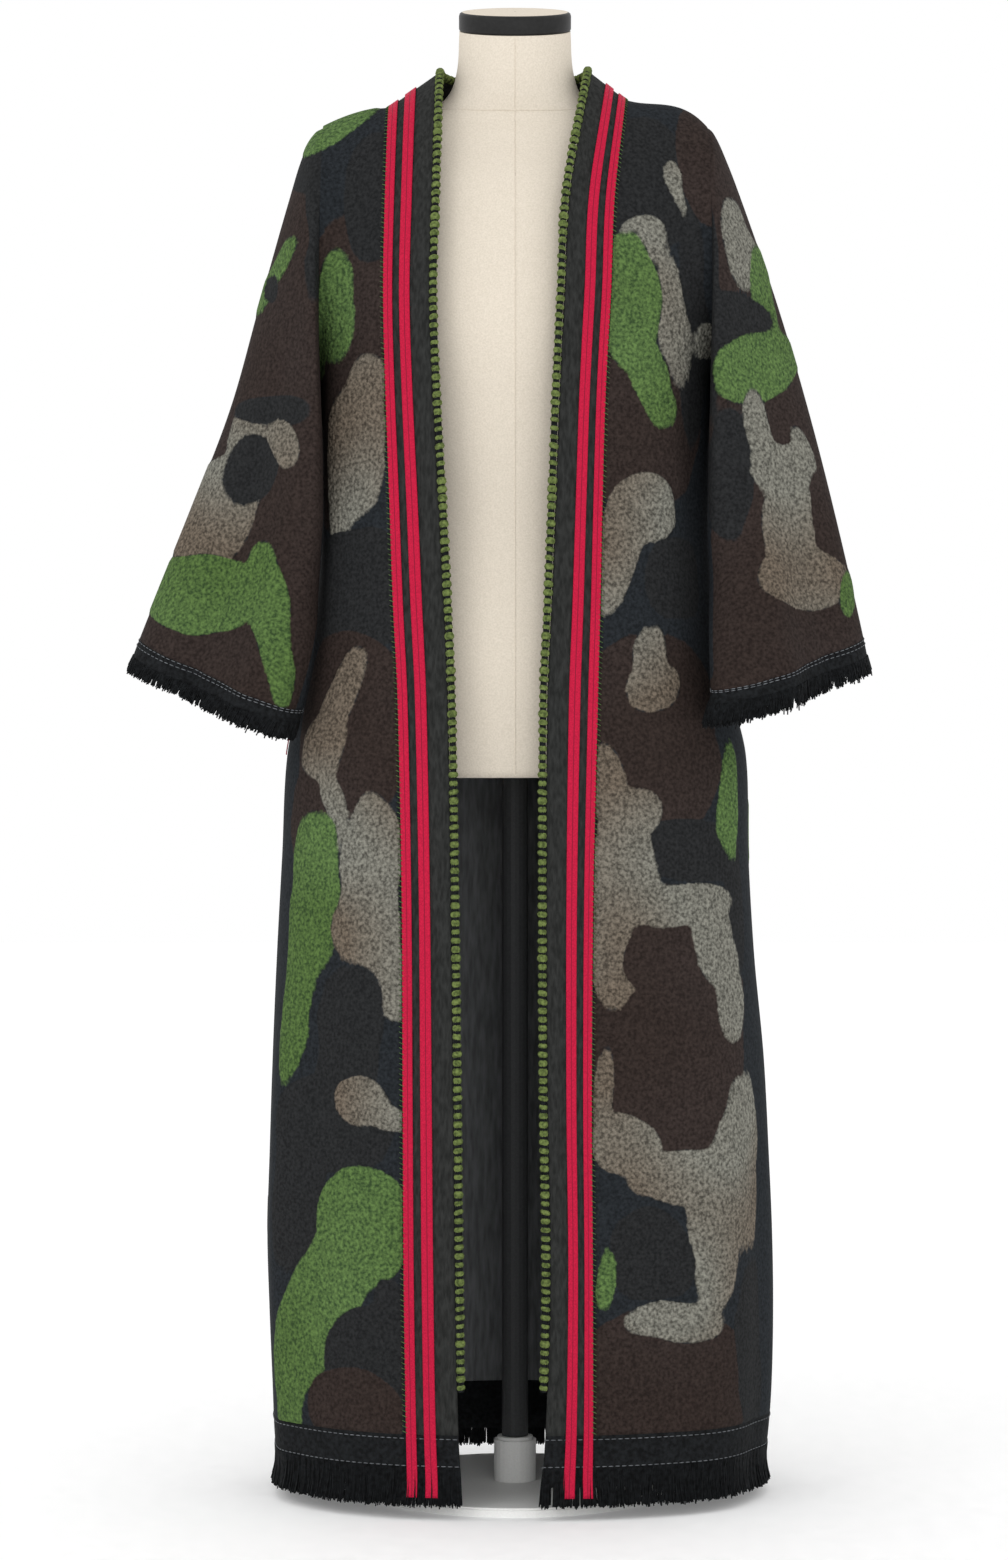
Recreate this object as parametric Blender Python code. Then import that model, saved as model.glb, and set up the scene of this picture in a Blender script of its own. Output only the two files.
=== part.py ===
"""Long open-front knit duster with ribbon-trimmed bands and frayed hems, on a limbless dress form.

Metres, +Z up. The coat's front faces -Y, and left and right are the viewer's.
"""

import math
from collections import namedtuple

import bmesh
import bpy
from mathutils import Vector

# Cloth walls and seams
CLOTH_WALL = 0.0025
TRIM_WALL = 0.0010
SEAM_HALF = 0.0003
TRIM_LIFT = 0.0006

# Heights on the coat
FRINGE_END_Z = 0.012
FRINGE_TOP_Z = 0.047
BACKING_HEIGHT = 0.006
HEM_Z = 0.077
UNDERARM_Z = 1.057
TIP_Z = 1.299
NECK_BLEND_Z = 1.147
FLARE_OUT = 0.006

# Armhole, shoulder and neck
ARMHOLE_DEPTH = 0.070
ARMHOLE_BLEND = 3.0
SECTION_POWER = 2.3
SHOULDER_POWER = 2.2
SEAM_RISE_LEFT = 0.018
SEAM_RISE_RIGHT = 0.0255
EDGE_RISE = 0.055
SHOULDER_ROUND_LEFT = 0.20
SHOULDER_ROUND_RIGHT = 0.45
BACK_NECK_DEPTH = 0.088
BACK_NECK_FALL = 0.002
BACK_EDGE_DEPTH = 0.066

# Front band, as shares of its width from the seam to the free edge
BAND_COLUMNS = (0.0, 0.18, 0.31, 0.50, 0.86)
RIBBON_OUTER = (0.015, 0.18)
RIBBON_INNER = (0.31, 0.50)
EDGING_RADIUS = 0.0038
EDGING_END_Z = 0.115
RIBBON_END_Z = 0.020

# Sleeve tubes: where their wall turns from the armhole's plane, and where they are plainly round
TUBE_BLEND = 0.10
TUBE_CHECK = 0.80
ARMHOLE_LENGTH = 0.12

# Cuff ends, as lengths past the stitch line at 1, with the fringe ends at 2
CUFF_STRIP_END = 1.30
CUFF_BACKING_END = 1.50
CUFF_FRINGE_END = 2.0
CUFF_GAP = 0.02

# Surface sampling: steps across and up for normals, and how far down shoulders look for their inside
FRONT_STEP = 0.12
BACK_STEP = 0.05
ROW_STEP = 0.0002
STRIP_STEPS = (0.05, 0.02)
SLEEVE_STEPS = (0.02, 0.005)
SHOULDER_DROP = 0.30
MERGE_DISTANCE = 0.00002

# Folds fade over these shares of their length and of the panel's width
FOLD_FADE = 1.5
SEAM_FADE = 6.0

# Mesh density
CURVE_STEPS = 160
RIBBON_HEM_ROWS = 2
SKIRT_ROWS = 14
ARMHOLE_STEPS = 12
FRONT_COLUMNS = 9
SHOULDER_COLUMNS = 5
BACK_NECK_COLUMNS = 6
SLEEVE_RINGS = 12
TORSO_SIDES = 28
TORSO_ROWS = 22

# Fringe
HEM_LOCK_PITCH = 0.0105
CUFF_LOCK_PITCH = 0.0130
LOCK_SHARE = 0.66
LOCK_TAPER = 0.42
LOCK_UNEVEN = 0.16
LOCK_STRAY_ASIDE = 0.12
LOCK_STRAY_OUT = 0.35
FRINGE_WALL = 0.0022

# Dress form and stand
CAP_RADIUS = 0.0535
CAP_HEIGHT = 0.018
CAP_TILT = math.radians(16.0)
CAP_ROUND = 0.003
SOCKET_ROUND = 0.003
TORSO_EASE = 1.5
POLE_RADIUS = 0.0125
SOCKET_RADIUS = 0.020
SOCKET_HEIGHT = 0.042
BASE_RADIUS = 0.145
BASE_HEIGHT = 0.008
BASE_ROUND = 0.002
PART_GAP = 0.0003

LEFT, RIGHT = -1, 1

# Body sections: half widths to the side seams or armholes, and depths at the middle
Section = namedtuple("Section", "z left right front back")
BODY = (
    Section(0.000, 0.224, 0.234, 0.160, 0.160),
    Section(0.031, 0.226, 0.237, 0.160, 0.160),
    Section(0.055, 0.229, 0.241, 0.160, 0.160),
    Section(0.103, 0.231, 0.2445, 0.160, 0.160),
    Section(0.175, 0.234, 0.246, 0.159, 0.159),
    Section(0.246, 0.236, 0.245, 0.158, 0.158),
    Section(0.318, 0.234, 0.242, 0.156, 0.157),
    Section(0.413, 0.231, 0.237, 0.154, 0.155),
    Section(0.509, 0.227, 0.228, 0.151, 0.152),
    Section(0.604, 0.222, 0.2225, 0.148, 0.150),
    Section(0.700, 0.217, 0.220, 0.145, 0.147),
    Section(0.767, 0.203, 0.204, 0.140, 0.143),
    Section(0.867, 0.189, 0.190, 0.134, 0.138),
    Section(0.967, 0.1860, 0.1870, 0.129, 0.134),
    Section(1.018, 0.1855, 0.1865, 0.129, 0.133),
    Section(1.057, 0.185, 0.186, 0.130, 0.132),
    Section(1.299, 0.182, 0.183, 0.130, 0.132),
)

# Front band: distance of its seam and of its free edge from the middle
Band = namedtuple("Band", "z seam_left edge_left seam_right edge_right")
BANDS = (
    Band(0.000, -0.0990, -0.0390, 0.0705, 0.0130),
    Band(0.077, -0.1008, -0.0445, 0.0715, 0.0203),
    Band(0.220, -0.1030, -0.0470, 0.0713, 0.0250),
    Band(0.384, -0.1040, -0.0490, 0.0705, 0.0224),
    Band(0.567, -0.1050, -0.0515, 0.0720, 0.0212),
    Band(0.749, -0.1090, -0.0545, 0.0765, 0.0216),
    Band(0.841, -0.1137, -0.0582, 0.0790, 0.0260),
    Band(0.933, -0.1170, -0.0630, 0.0810, 0.0300),
    Band(1.037, -0.1208, -0.0690, 0.0840, 0.0340),
    Band(1.128, -0.1230, -0.0723, 0.0890, 0.0384),
    Band(1.214, -0.1220, -0.0700, 0.0930, 0.0440),
    Band(1.299, -0.1200, -0.0670, 0.1050, 0.0670),
)

# Sleeve rings from the armhole to the stitch line, with the ring at the fringe ends as last row
Ring = namedtuple("Ring", "at outer_x outer_y outer_z inner_x inner_y inner_z depth turned")
SLEEVES = {
    LEFT: (
        Ring(0, -0.1826, 0.000, 1.299, -0.1856, 0.000, 1.057, 0.070, 0.0),
        Ring(1, -0.2015, 0.002, 1.273, -0.1865, -0.042, 1.018, 0.064, -4.5),
        Ring(2, -0.2170, 0.005, 1.225, -0.1800, -0.070, 0.975, 0.056, -5.0),
        Ring(3, -0.2435, 0.012, 1.130, -0.1800, -0.080, 0.915, 0.044, 0.0),
        Ring(4, -0.2685, 0.018, 1.034, -0.1860, -0.081, 0.860, 0.036, 14.0),
        Ring(5, -0.3035, 0.018, 0.939, -0.1900, -0.086, 0.800, 0.036, 24.0),
        Ring(6, -0.3560, 0.008, 0.803, -0.2020, -0.088, 0.737, 0.044, 30.0),
        Ring(7, -0.3625, 0.006, 0.782, -0.2110, -0.092, 0.713, 0.046, 30.0),
    ),
    RIGHT: (
        Ring(0, 0.1836, 0.000, 1.299, 0.1866, 0.000, 1.057, 0.070, 0.0),
        Ring(1, 0.1990, 0.002, 1.273, 0.1875, -0.042, 1.018, 0.064, -5.0),
        Ring(2, 0.2177, 0.005, 1.225, 0.1810, -0.070, 0.975, 0.055, -5.0),
        Ring(3, 0.2500, 0.012, 1.130, 0.1800, -0.084, 0.915, 0.042, 1.0),
        Ring(4, 0.2755, 0.012, 1.034, 0.1840, -0.095, 0.860, 0.036, 18.0),
        Ring(5, 0.2965, 0.004, 0.939, 0.1840, -0.118, 0.802, 0.036, 32.0),
        Ring(6, 0.3230, -0.010, 0.804, 0.1860, -0.135, 0.755, 0.042, 40.0),
        Ring(7, 0.3270, -0.012, 0.780, 0.1790, -0.140, 0.723, 0.046, 40.0),
    ),
}

# Folds that stand out of a panel (height above 0) or sink into it, across its shares
Fold = namedtuple("Fold", "centre width height foot top")
FOLDS = {
    "front_left": (
        Fold(0.30, 0.12, 0.005, -0.10, 0.55),
        Fold(0.62, 0.13, -0.004, 0.02, 0.70),
        Fold(0.45, 0.16, 0.004, 0.75, 1.15),
    ),
    "front_right": (
        Fold(0.28, 0.11, -0.005, -0.10, 0.50),
        Fold(0.58, 0.14, 0.005, -0.10, 0.62),
        Fold(0.40, 0.15, -0.005, 0.70, 1.12),
    ),
    "back": (
        Fold(0.17, 0.06, 0.006, -0.10, 0.60),
        Fold(0.33, 0.07, -0.007, -0.10, 0.72),
        Fold(0.52, 0.08, 0.006, -0.10, 0.55),
        Fold(0.70, 0.06, -0.006, -0.10, 0.80),
        Fold(0.84, 0.06, 0.005, -0.10, 0.52),
        Fold(0.42, 0.10, -0.006, 0.80, 1.18),
    ),
}

# Creases along a sleeve, from a share of its length down to the cuff
Crease = namedtuple("Crease", "angle width height start")
CREASES = {
    LEFT: (
        Crease(142.0, 24.0, 0.011, 0.30),
        Crease(104.0, 22.0, -0.008, 0.40),
        Crease(48.0, 26.0, 0.006, 0.25),
        Crease(238.0, 28.0, -0.007, 0.30),
        Crease(300.0, 24.0, 0.006, 0.35),
    ),
    RIGHT: (
        Crease(132.0, 22.0, 0.008, 0.35),
        Crease(92.0, 22.0, -0.007, 0.30),
        Crease(45.0, 24.0, 0.006, 0.35),
        Crease(250.0, 26.0, -0.006, 0.30),
        Crease(305.0, 26.0, 0.005, 0.30),
    ),
}

# Dress form sections
Torso = namedtuple("Torso", "z half_width half_depth tilt")
TORSO = (
    Torso(0.678, 0.165, 0.112, 0.0),
    Torso(0.720, 0.168, 0.113, 0.0),
    Torso(0.790, 0.168, 0.113, 0.0),
    Torso(0.867, 0.150, 0.104, 0.0),
    Torso(0.937, 0.133, 0.096, 0.0),
    Torso(1.017, 0.140, 0.101, 0.0),
    Torso(1.097, 0.156, 0.110, 0.0),
    Torso(1.167, 0.160, 0.101, 0.0),
    Torso(1.237, 0.163, 0.080, 0.0),
    Torso(1.272, 0.162, 0.060, 0.0),
    Torso(1.288, 0.156, 0.052, 0.0),
    Torso(1.298, 0.141, 0.046, 0.0),
    Torso(1.305, 0.117, 0.044, 0.0),
    Torso(1.311, 0.092, 0.045, 0.0),
    Torso(1.325, 0.067, 0.048, 0.0),
    Torso(1.350, 0.056, 0.051, 0.20),
    Torso(1.391, 0.0530, 0.052, 1.0),
)

# Materials: base colour and roughness
MATERIALS = {
    "camouflage_knit": ((0.095, 0.110, 0.060), 0.95),
    "charcoal_knit": ((0.034, 0.038, 0.041), 0.92),
    "red_ribbon": ((0.60, 0.010, 0.050), 0.60),
    "olive_edging": ((0.115, 0.140, 0.045), 0.90),
    "black_fringe": ((0.010, 0.010, 0.011), 0.90),
    "cream_cover": ((0.80, 0.74, 0.65), 0.85),
    "black_cap": ((0.020, 0.020, 0.020), 0.45),
    "black_pole": ((0.015, 0.015, 0.015), 0.35),
    "white_stand": ((0.85, 0.85, 0.84), 0.40),
}


def along(rows, z, field):
    """Smooth value of a table's column at a height or position in its first column."""
    keys = [row[0] for row in rows]
    values = [getattr(row, field) for row in rows]
    z = min(max(z, keys[0]), keys[-1])
    i = max(k for k in range(len(keys) - 1) if keys[k] <= z)
    span = keys[i + 1] - keys[i]
    share = (z - keys[i]) / span

    def slope(k):
        low = max(k - 1, 0)
        high = min(k + 1, len(keys) - 1)
        return (values[high] - values[low]) / (keys[high] - keys[low])

    s2 = share * share
    s3 = s2 * share
    start = (2 * s3 - 3 * s2 + 1) * values[i] + (s3 - 2 * s2 + share) * span * slope(i)
    end = (3 * s2 - 2 * s3) * values[i + 1] + (s3 - s2) * span * slope(i + 1)
    return start + end


def smooth(share):
    """Ease from 0 to 1 between shares 0 and 1."""
    share = min(max(share, 0.0), 1.0)
    return share * share * (3.0 - 2.0 * share)


def uneven(index, seed):
    """Even-handed scatter from -1 to 1 for a numbered thing."""
    value = math.sin(index * 12.9898 + seed * 78.233) * 43758.5453
    return 2.0 * (value - math.floor(value)) - 1.0


# Body surface


def half_width(side, z):
    """Distance from the middle to the side seam or armhole."""
    return along(BODY, z, "left" if side == LEFT else "right")


def armhole_y(z):
    """Half depth of the armhole at a height."""
    middle = 0.5 * (UNDERARM_Z + TIP_Z)
    reach = 0.5 * (TIP_Z - UNDERARM_Z)
    share = (z - middle) / reach
    return ARMHOLE_DEPTH * math.sqrt(max(0.0, 1.0 - share * share))


def from_armhole(z, depth, rise):
    """Depth of a body row between the armhole's edge and its full depth."""
    edge = armhole_y(z) * (1.0 - rise**ARMHOLE_BLEND)
    return ((depth * rise) ** ARMHOLE_BLEND + edge**ARMHOLE_BLEND) ** (1.0 / ARMHOLE_BLEND)


def over_shoulder(z):
    """How much of the body's depth is left at a height above the underarm."""
    share = (z - UNDERARM_Z) / (TIP_Z - UNDERARM_Z)
    share = min(max(share, 0.0), 1.0)
    return (1.0 - share**SHOULDER_POWER) ** (1.0 / SHOULDER_POWER)


def bow(share):
    """Depth of a body section at a share of its half width."""
    share = min(abs(share), 1.0)
    return (1.0 - share**SECTION_POWER) ** (1.0 / SECTION_POWER)


def neck_blend(z):
    """How far a row of the body has turned up towards the neck."""
    share = max(0.0, z - NECK_BLEND_Z) / (TIP_Z - NECK_BLEND_Z)
    return share * share


def seam_rise(side):
    """Height of a band's seam above the shoulder tip, where it crosses the shoulder."""
    return SEAM_RISE_LEFT if side == LEFT else SEAM_RISE_RIGHT


def shoulder_rise(side, inward):
    """Share of the rise from the armhole to the neck, at a share of the way in along the shoulder."""
    round_up = SHOULDER_ROUND_LEFT if side == LEFT else SHOULDER_ROUND_RIGHT
    return inward + 4.0 * round_up * inward * (1.0 - inward)


def flare(z):
    """Outward spread of the frayed hem below its stitch line."""
    share = max(0.0, FRINGE_TOP_Z - z) / (FRINGE_TOP_Z - FRINGE_END_Z)
    return FLARE_OUT * share * share


def fold_height(piece, share, z):
    """Height of the folds on a panel at a share across it, none at its seams."""
    total = 0.0
    for fold in FOLDS[piece]:
        across = math.exp(-(((share - fold.centre) / fold.width) ** 2))
        middle = 0.5 * (fold.foot + fold.top)
        reach = 0.5 * (fold.top - fold.foot)
        up = smooth(FOLD_FADE * (1.0 - abs(z - middle) / reach))
        total += fold.height * across * up
    return total * smooth(SEAM_FADE * share) * smooth(SEAM_FADE * (1.0 - share))


def pushed(x, y, z, half, depth, height):
    """A point of the body moved straight out from it, level."""
    out = Vector((x / half**2, y / depth**2, 0.0))
    if out.length < 1e-9:
        return Vector((x, y, z))
    return Vector((x, y, z)) + out.normalized() * height


def band_seam(side, z):
    """Point of the seam between a front and its band."""
    half = half_width(side, z)
    x = along(BANDS, z, "seam_left" if side == LEFT else "seam_right")
    depth = along(BODY, z, "front") * over_shoulder(z) * bow(x / half)
    return Vector((x, -depth, z + seam_rise(side) * neck_blend(z)))


def band_edge(side, z):
    """Point of the free edge of a band."""
    half = half_width(side, z)
    x = along(BANDS, z, "edge_left" if side == LEFT else "edge_right")
    depth = along(BODY, z, "front") * over_shoulder(z) * bow(x / half)
    return Vector((x, -depth, z + EDGE_RISE * neck_blend(z)))


def front_point(side, z, share):
    """Outer point of a front: share 0 at the side seam, 1 at the band seam, 2 at the band's edge."""
    half = half_width(side, z)
    seam = band_seam(side, z)
    if share > 1.0:
        point = seam.lerp(band_edge(side, z), (share - 1.0) * BAND_COLUMNS[-1])
        depth = along(BODY, z, "front")
        return pushed(point.x, point.y, point.z, half, depth, flare(z))
    full = math.acos((abs(seam.x) / half) ** (SECTION_POWER / 2.0))
    turn = share * full
    x = side * half * math.cos(turn) ** (2.0 / SECTION_POWER)
    rise = (math.sin(turn) / math.sin(full)) ** (2.0 / SECTION_POWER)
    y = -from_armhole(z, -seam.y, rise) - SEAM_HALF * (1.0 - rise)
    inward = (half - abs(x)) / (half - abs(seam.x))
    height = z + (seam.z - z) * shoulder_rise(side, inward)
    piece = "front_left" if side == LEFT else "front_right"
    depth = along(BODY, z, "front")
    lift = fold_height(piece, share, z) + flare(z)
    return pushed(x, y, height, half, depth, lift)


def back_turns():
    """Turning angles of the back's columns, from the left side seam to the right one."""
    turns = []
    for side in (LEFT, RIGHT):
        reach = abs(band_seam(side, TIP_Z).x) / half_width(side, TIP_Z)
        neck = math.acos(reach ** (SECTION_POWER / 2.0))
        shoulder = [neck * i / SHOULDER_COLUMNS for i in range(SHOULDER_COLUMNS)]
        around = spread(0.0, 0.5 * math.pi, BACK_NECK_COLUMNS)
        shares = [max(0.0, reach * math.cos(angle)) for angle in around]
        turns.append(shoulder + [math.acos(share ** (SECTION_POWER / 2.0)) for share in shares])
    left = turns[0]
    right = [math.pi - turn for turn in turns[1]][::-1]
    return left + right[1:]


def back_point(turn, z):
    """Outer point of the back at a turning angle from its left side seam."""
    side = LEFT if turn <= 0.5 * math.pi else RIGHT
    folded = turn if side == LEFT else math.pi - turn
    half = half_width(side, z)
    x = side * half * max(math.cos(folded), 0.0) ** (2.0 / SECTION_POWER)
    rise = math.sin(folded) ** (2.0 / SECTION_POWER)
    seam = band_seam(side, TIP_Z)
    tip_half = half_width(side, TIP_Z)
    tip_x = side * tip_half * max(math.cos(folded), 0.0) ** (2.0 / SECTION_POWER)
    neck = max(0.0, 1.0 - (tip_x / seam.x) ** 2) ** 0.5
    inward = min(1.0, (tip_half - abs(tip_x)) / (tip_half - abs(seam.x)))
    top = seam_rise(side) * shoulder_rise(side, inward) * (1.0 - neck) - BACK_NECK_FALL * neck
    low = along(BODY, z, "back")
    neck_y = BACK_NECK_DEPTH * neck
    deep = neck_y + (low - neck_y) * over_shoulder(z)
    y = from_armhole(z, deep, rise) + SEAM_HALF * (1.0 - neck)
    lift = fold_height("back", turn / math.pi, z) * over_shoulder(z) + flare(z)
    return pushed(x, y, z + top * neck_blend(z), half, low, lift)


def body_rows():
    """Heights of the body's rows, from the hem stitch line to the shoulder tip."""
    skirt = [HEM_Z + (UNDERARM_Z - HEM_Z) * i / SKIRT_ROWS for i in range(SKIRT_ROWS)]
    middle = 0.5 * (UNDERARM_Z + TIP_Z)
    reach = 0.5 * (TIP_Z - UNDERARM_Z)
    arm = [
        middle - reach * math.cos(math.pi * k / ARMHOLE_STEPS)
        for k in range(ARMHOLE_STEPS + 1)
    ]
    return skirt + arm


# Sleeve surface


def sleeve_frame(side, length):
    """Outer and inner points of a sleeve's ring and its reach forwards; length 1 at the stitch line."""
    rows = SLEEVES[side]
    stitched = rows[:-1]
    place = min(length, 1.0) * stitched[-1].at
    beyond = max(length - 1.0, 0.0)
    values = [along(stitched, place, field) for field in Ring._fields]
    ring = Ring(*[value + (end - start) * beyond for value, start, end in zip(values, rows[-2], rows[-1])])
    outer = Vector((ring.outer_x, ring.outer_y, ring.outer_z))
    inner = Vector((ring.inner_x, ring.inner_y, ring.inner_z))
    ahead = math.radians(ring.turned)
    forward = Vector((side * math.sin(ahead), -math.cos(ahead), 0.0))
    reach = (outer - inner).normalized()
    forward = (forward - reach * forward.dot(reach)).normalized()
    return outer, inner, forward * ring.depth


def sleeve_point(side, turn, length):
    """Outer point of a sleeve: turn 0 on its outer edge, a quarter turn on its front."""
    outer, inner, forward = sleeve_frame(side, length)
    centre = 0.5 * (outer + inner)
    reach = 0.5 * (outer - inner)
    point = centre + reach * math.cos(turn) + forward * math.sin(turn)
    if length < ARMHOLE_LENGTH:
        hole = Vector((side * (half_width(side, point.z) + 2.0 * SEAM_HALF), point.y, point.z))
        point = hole.lerp(point, smooth(length / ARMHOLE_LENGTH))
    out = (point - centre).normalized()
    lift = 0.0
    degrees = math.degrees(turn) % 360.0
    for crease in CREASES[side]:
        apart = abs((degrees - crease.angle + 180.0) % 360.0 - 180.0)
        grown = smooth((length - crease.start) / (1.0 - crease.start))
        lift += crease.height * math.exp(-((apart / crease.width) ** 2)) * grown
    return point + out * lift


# Mesh building


Surface = namedtuple("Surface", "point u_range v_range u_step v_step")


def surface_normal(surface, u, v, inside):
    """Outward unit normal of a surface, turned away from a point inside it."""
    u0, u1 = surface.u_range
    v0, v1 = surface.v_range
    ua, ub = max(u - surface.u_step, u0), min(u + surface.u_step, u1)
    va, vb = max(v - surface.v_step, v0), min(v + surface.v_step, v1)
    across = surface.point(ub, v) - surface.point(ua, v)
    up = surface.point(u, vb) - surface.point(u, va)
    normal = across.cross(up).normalized()
    here = surface.point(u, v)
    return normal if normal.dot(here - inside(here)) > 0.0 else -normal


def tube_normal(surface, u, v, inside):
    """Outward unit normal of a tube, level with its first ring at the start."""

    def cross(a, b):
        across = surface.point(a + surface.u_step, b) - surface.point(a - surface.u_step, b)
        low = max(b - surface.v_step, 0.0)
        return across.cross(surface.point(a, b + surface.v_step) - surface.point(a, low))

    front = 0.5 * math.pi
    outward = surface.point(front, TUBE_CHECK) - inside(TUBE_CHECK)
    sign = 1.0 if cross(front, TUBE_CHECK).dot(outward) > 0.0 else -1.0
    ring = (surface.point(u, v) - inside(v)).normalized()
    return ring.lerp(sign * cross(u, v).normalized(), smooth(v / TUBE_BLEND)).normalized()


def level_axis(point):
    """Middle of the coat at a point's height, a little down so that shoulders face up."""
    drop = SHOULDER_DROP * smooth((point.z - UNDERARM_Z) / (TIP_Z - UNDERARM_Z))
    return Vector((0.0, 0.0, point.z - drop))


def pattern_sheet(columns, rows, closed):
    """A two-layer grid: x counts columns, y counts rows, z is 0 outside and 1 inside."""
    mesh = bmesh.new()
    bmesh.ops.create_grid(mesh, x_segments=columns, y_segments=rows, size=0.5)
    for vert in mesh.verts:
        vert.co.x = round((vert.co.x + 0.5) * columns)
        vert.co.y = round((vert.co.y + 0.5) * rows)
    grown = bmesh.ops.extrude_face_region(mesh, geom=mesh.faces[:])
    for item in grown["geom"]:
        if isinstance(item, bmesh.types.BMVert):
            item.co.z = 1.0
    if closed:
        ends = [
            face
            for face in mesh.faces
            if all(v.co.x == 0 for v in face.verts) or all(v.co.x == columns for v in face.verts)
        ]
        bmesh.ops.delete(mesh, geom=ends, context="FACES")
    return mesh


def shaped(mesh, surface, us, vs, wall, inside, outward):
    """Lay a two-layer pattern on a surface, the inner layer one wall thickness in."""
    for vert in mesh.verts:
        u = value_at(us, vert.co.x)
        v = value_at(vs, vert.co.y)
        normal = outward(surface, u, v, inside)
        vert.co = surface.point(u, v) - normal * wall * vert.co.z
    bmesh.ops.remove_doubles(mesh, verts=mesh.verts[:], dist=MERGE_DISTANCE)
    bmesh.ops.recalc_face_normals(mesh, faces=mesh.faces[:])


def value_at(values, place):
    """Value between the numbered entries of a list, run on straight past its ends."""
    low = min(max(int(math.floor(place)), 0), len(values) - 2)
    share = place - low
    return values[low] + (values[low + 1] - values[low]) * share


def keep(name, mesh, material):
    """Turn a mesh into a named part with its own material."""
    data = bpy.data.meshes.new(name)
    mesh.to_mesh(data)
    mesh.free()
    part = bpy.data.objects.new(name, data)
    data.materials.append(material)
    PARTS.objects.link(part)
    return part


def make_material(name):
    """Plain surface with a base colour and a roughness."""
    colour, roughness = MATERIALS[name]
    material = bpy.data.materials.new(name)
    material.use_nodes = True
    shader = material.node_tree.nodes["Principled BSDF"]
    shader.inputs["Base Color"].default_value = (*colour, 1.0)
    shader.inputs["Roughness"].default_value = roughness
    return material


def cloth(name, surface, us, vs, material, wall=CLOTH_WALL, axis=None):
    """A cloth wall on a surface, at listed places across and up it; a tube if it has an axis."""
    mesh = pattern_sheet(len(us) - 1, len(vs) - 1, axis is not None)
    inside = axis or level_axis
    shaped(mesh, surface, us, vs, wall, inside, tube_normal if axis else surface_normal)
    return keep(name, mesh, material)


def spread(low, high, count):
    """Evenly spaced values, both ends included."""
    return [low + (high - low) * i / count for i in range(count + 1)]


def lock_columns(curve, low, high, pitch):
    """Places along a curve, a wide one for each lock and a narrow one for each gap."""
    places = spread(low, high, CURVE_STEPS)
    lengths = [0.0]
    for a, b in zip(places, places[1:]):
        lengths.append(lengths[-1] + (curve(b) - curve(a)).length)
    locks = max(3, int(lengths[-1] / pitch))
    cell = lengths[-1] / (locks + LOCK_SHARE)
    marks = [0.0]
    for i in range(locks):
        marks.append(marks[-1] + cell * LOCK_SHARE)
        marks.append(marks[-1] + cell * (1.0 - LOCK_SHARE))
    marks.append(lengths[-1])
    columns = []
    for mark in marks:
        i = max(k for k in range(CURVE_STEPS) if lengths[k] <= mark + 1e-12)
        share = (mark - lengths[i]) / (lengths[i + 1] - lengths[i])
        columns.append(places[i] + (places[i + 1] - places[i]) * share)
    return columns


def fringe(name, surface, us, heights, material, seed, axis=None):
    """Tapered locks hanging from a narrow backing; every other column carries a lock."""
    top, foot, tip = heights
    inside = axis or level_axis
    outward = tube_normal if axis else surface_normal
    mesh = pattern_sheet(len(us) - 1, 1, axis is not None)
    roots = []
    for face in mesh.faces:
        middle = face.calc_center_median()
        is_lock = int(math.floor(middle.x)) % 2 == 0
        if abs(middle.y) < 1e-6 and is_lock:
            roots.append(face)
    grown = bmesh.ops.extrude_discrete_faces(mesh, faces=roots)
    for face in grown["faces"]:
        middle = face.calc_center_median()
        number = round(middle.x)
        for vert in face.verts:
            vert.co.x = middle.x + (vert.co.x - middle.x) * LOCK_TAPER
            vert.co.x += LOCK_STRAY_ASIDE * uneven(number, seed)
            vert.co.y = -1.0 + LOCK_UNEVEN * uneven(number, seed + 3.0)
            vert.co.z = 0.5 + (vert.co.z - 0.5) * LOCK_TAPER
            vert.co.z += LOCK_STRAY_OUT * uneven(number, seed + 7.0)
    for vert in mesh.verts:
        u = value_at(us, vert.co.x)
        share = vert.co.y
        v = foot + (top - foot) * share if share >= 0.0 else foot + (tip - foot) * -share
        normal = outward(surface, u, v, inside)
        vert.co = surface.point(u, v) - normal * FRINGE_WALL * vert.co.z
    bmesh.ops.remove_doubles(mesh, verts=mesh.verts[:], dist=MERGE_DISTANCE)
    bmesh.ops.recalc_face_normals(mesh, faces=mesh.faces[:])
    return keep(name, mesh, material)


# Coat


def front_surface(side, high=1.0):
    """A front from its side seam to its band seam, or on to the band's edge."""

    def point(u, v):
        return front_point(side, v, u)

    return Surface(point, (0.0, high), (0.0, TIP_Z), FRONT_STEP, ROW_STEP)


def back_surface():
    """The back from its left side seam to its right one."""
    return Surface(back_point, (0.0, math.pi), (0.0, TIP_Z), BACK_STEP, ROW_STEP)


def make_panels(knit):
    """The back and both fronts."""
    rows = body_rows()
    for side, name in ((LEFT, "front_left"), (RIGHT, "front_right")):
        reach = (band_seam(side, HEM_Z) - front_point(side, HEM_Z, 0.5)).length
        inset = 0.5 * SEAM_HALF / reach
        columns = spread(0.0, 1.0 - inset, FRONT_COLUMNS)
        cloth(name, front_surface(side), columns, rows, knit)
    back = back_surface()
    cloth("back", back, back_turns(), rows, knit)


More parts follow.
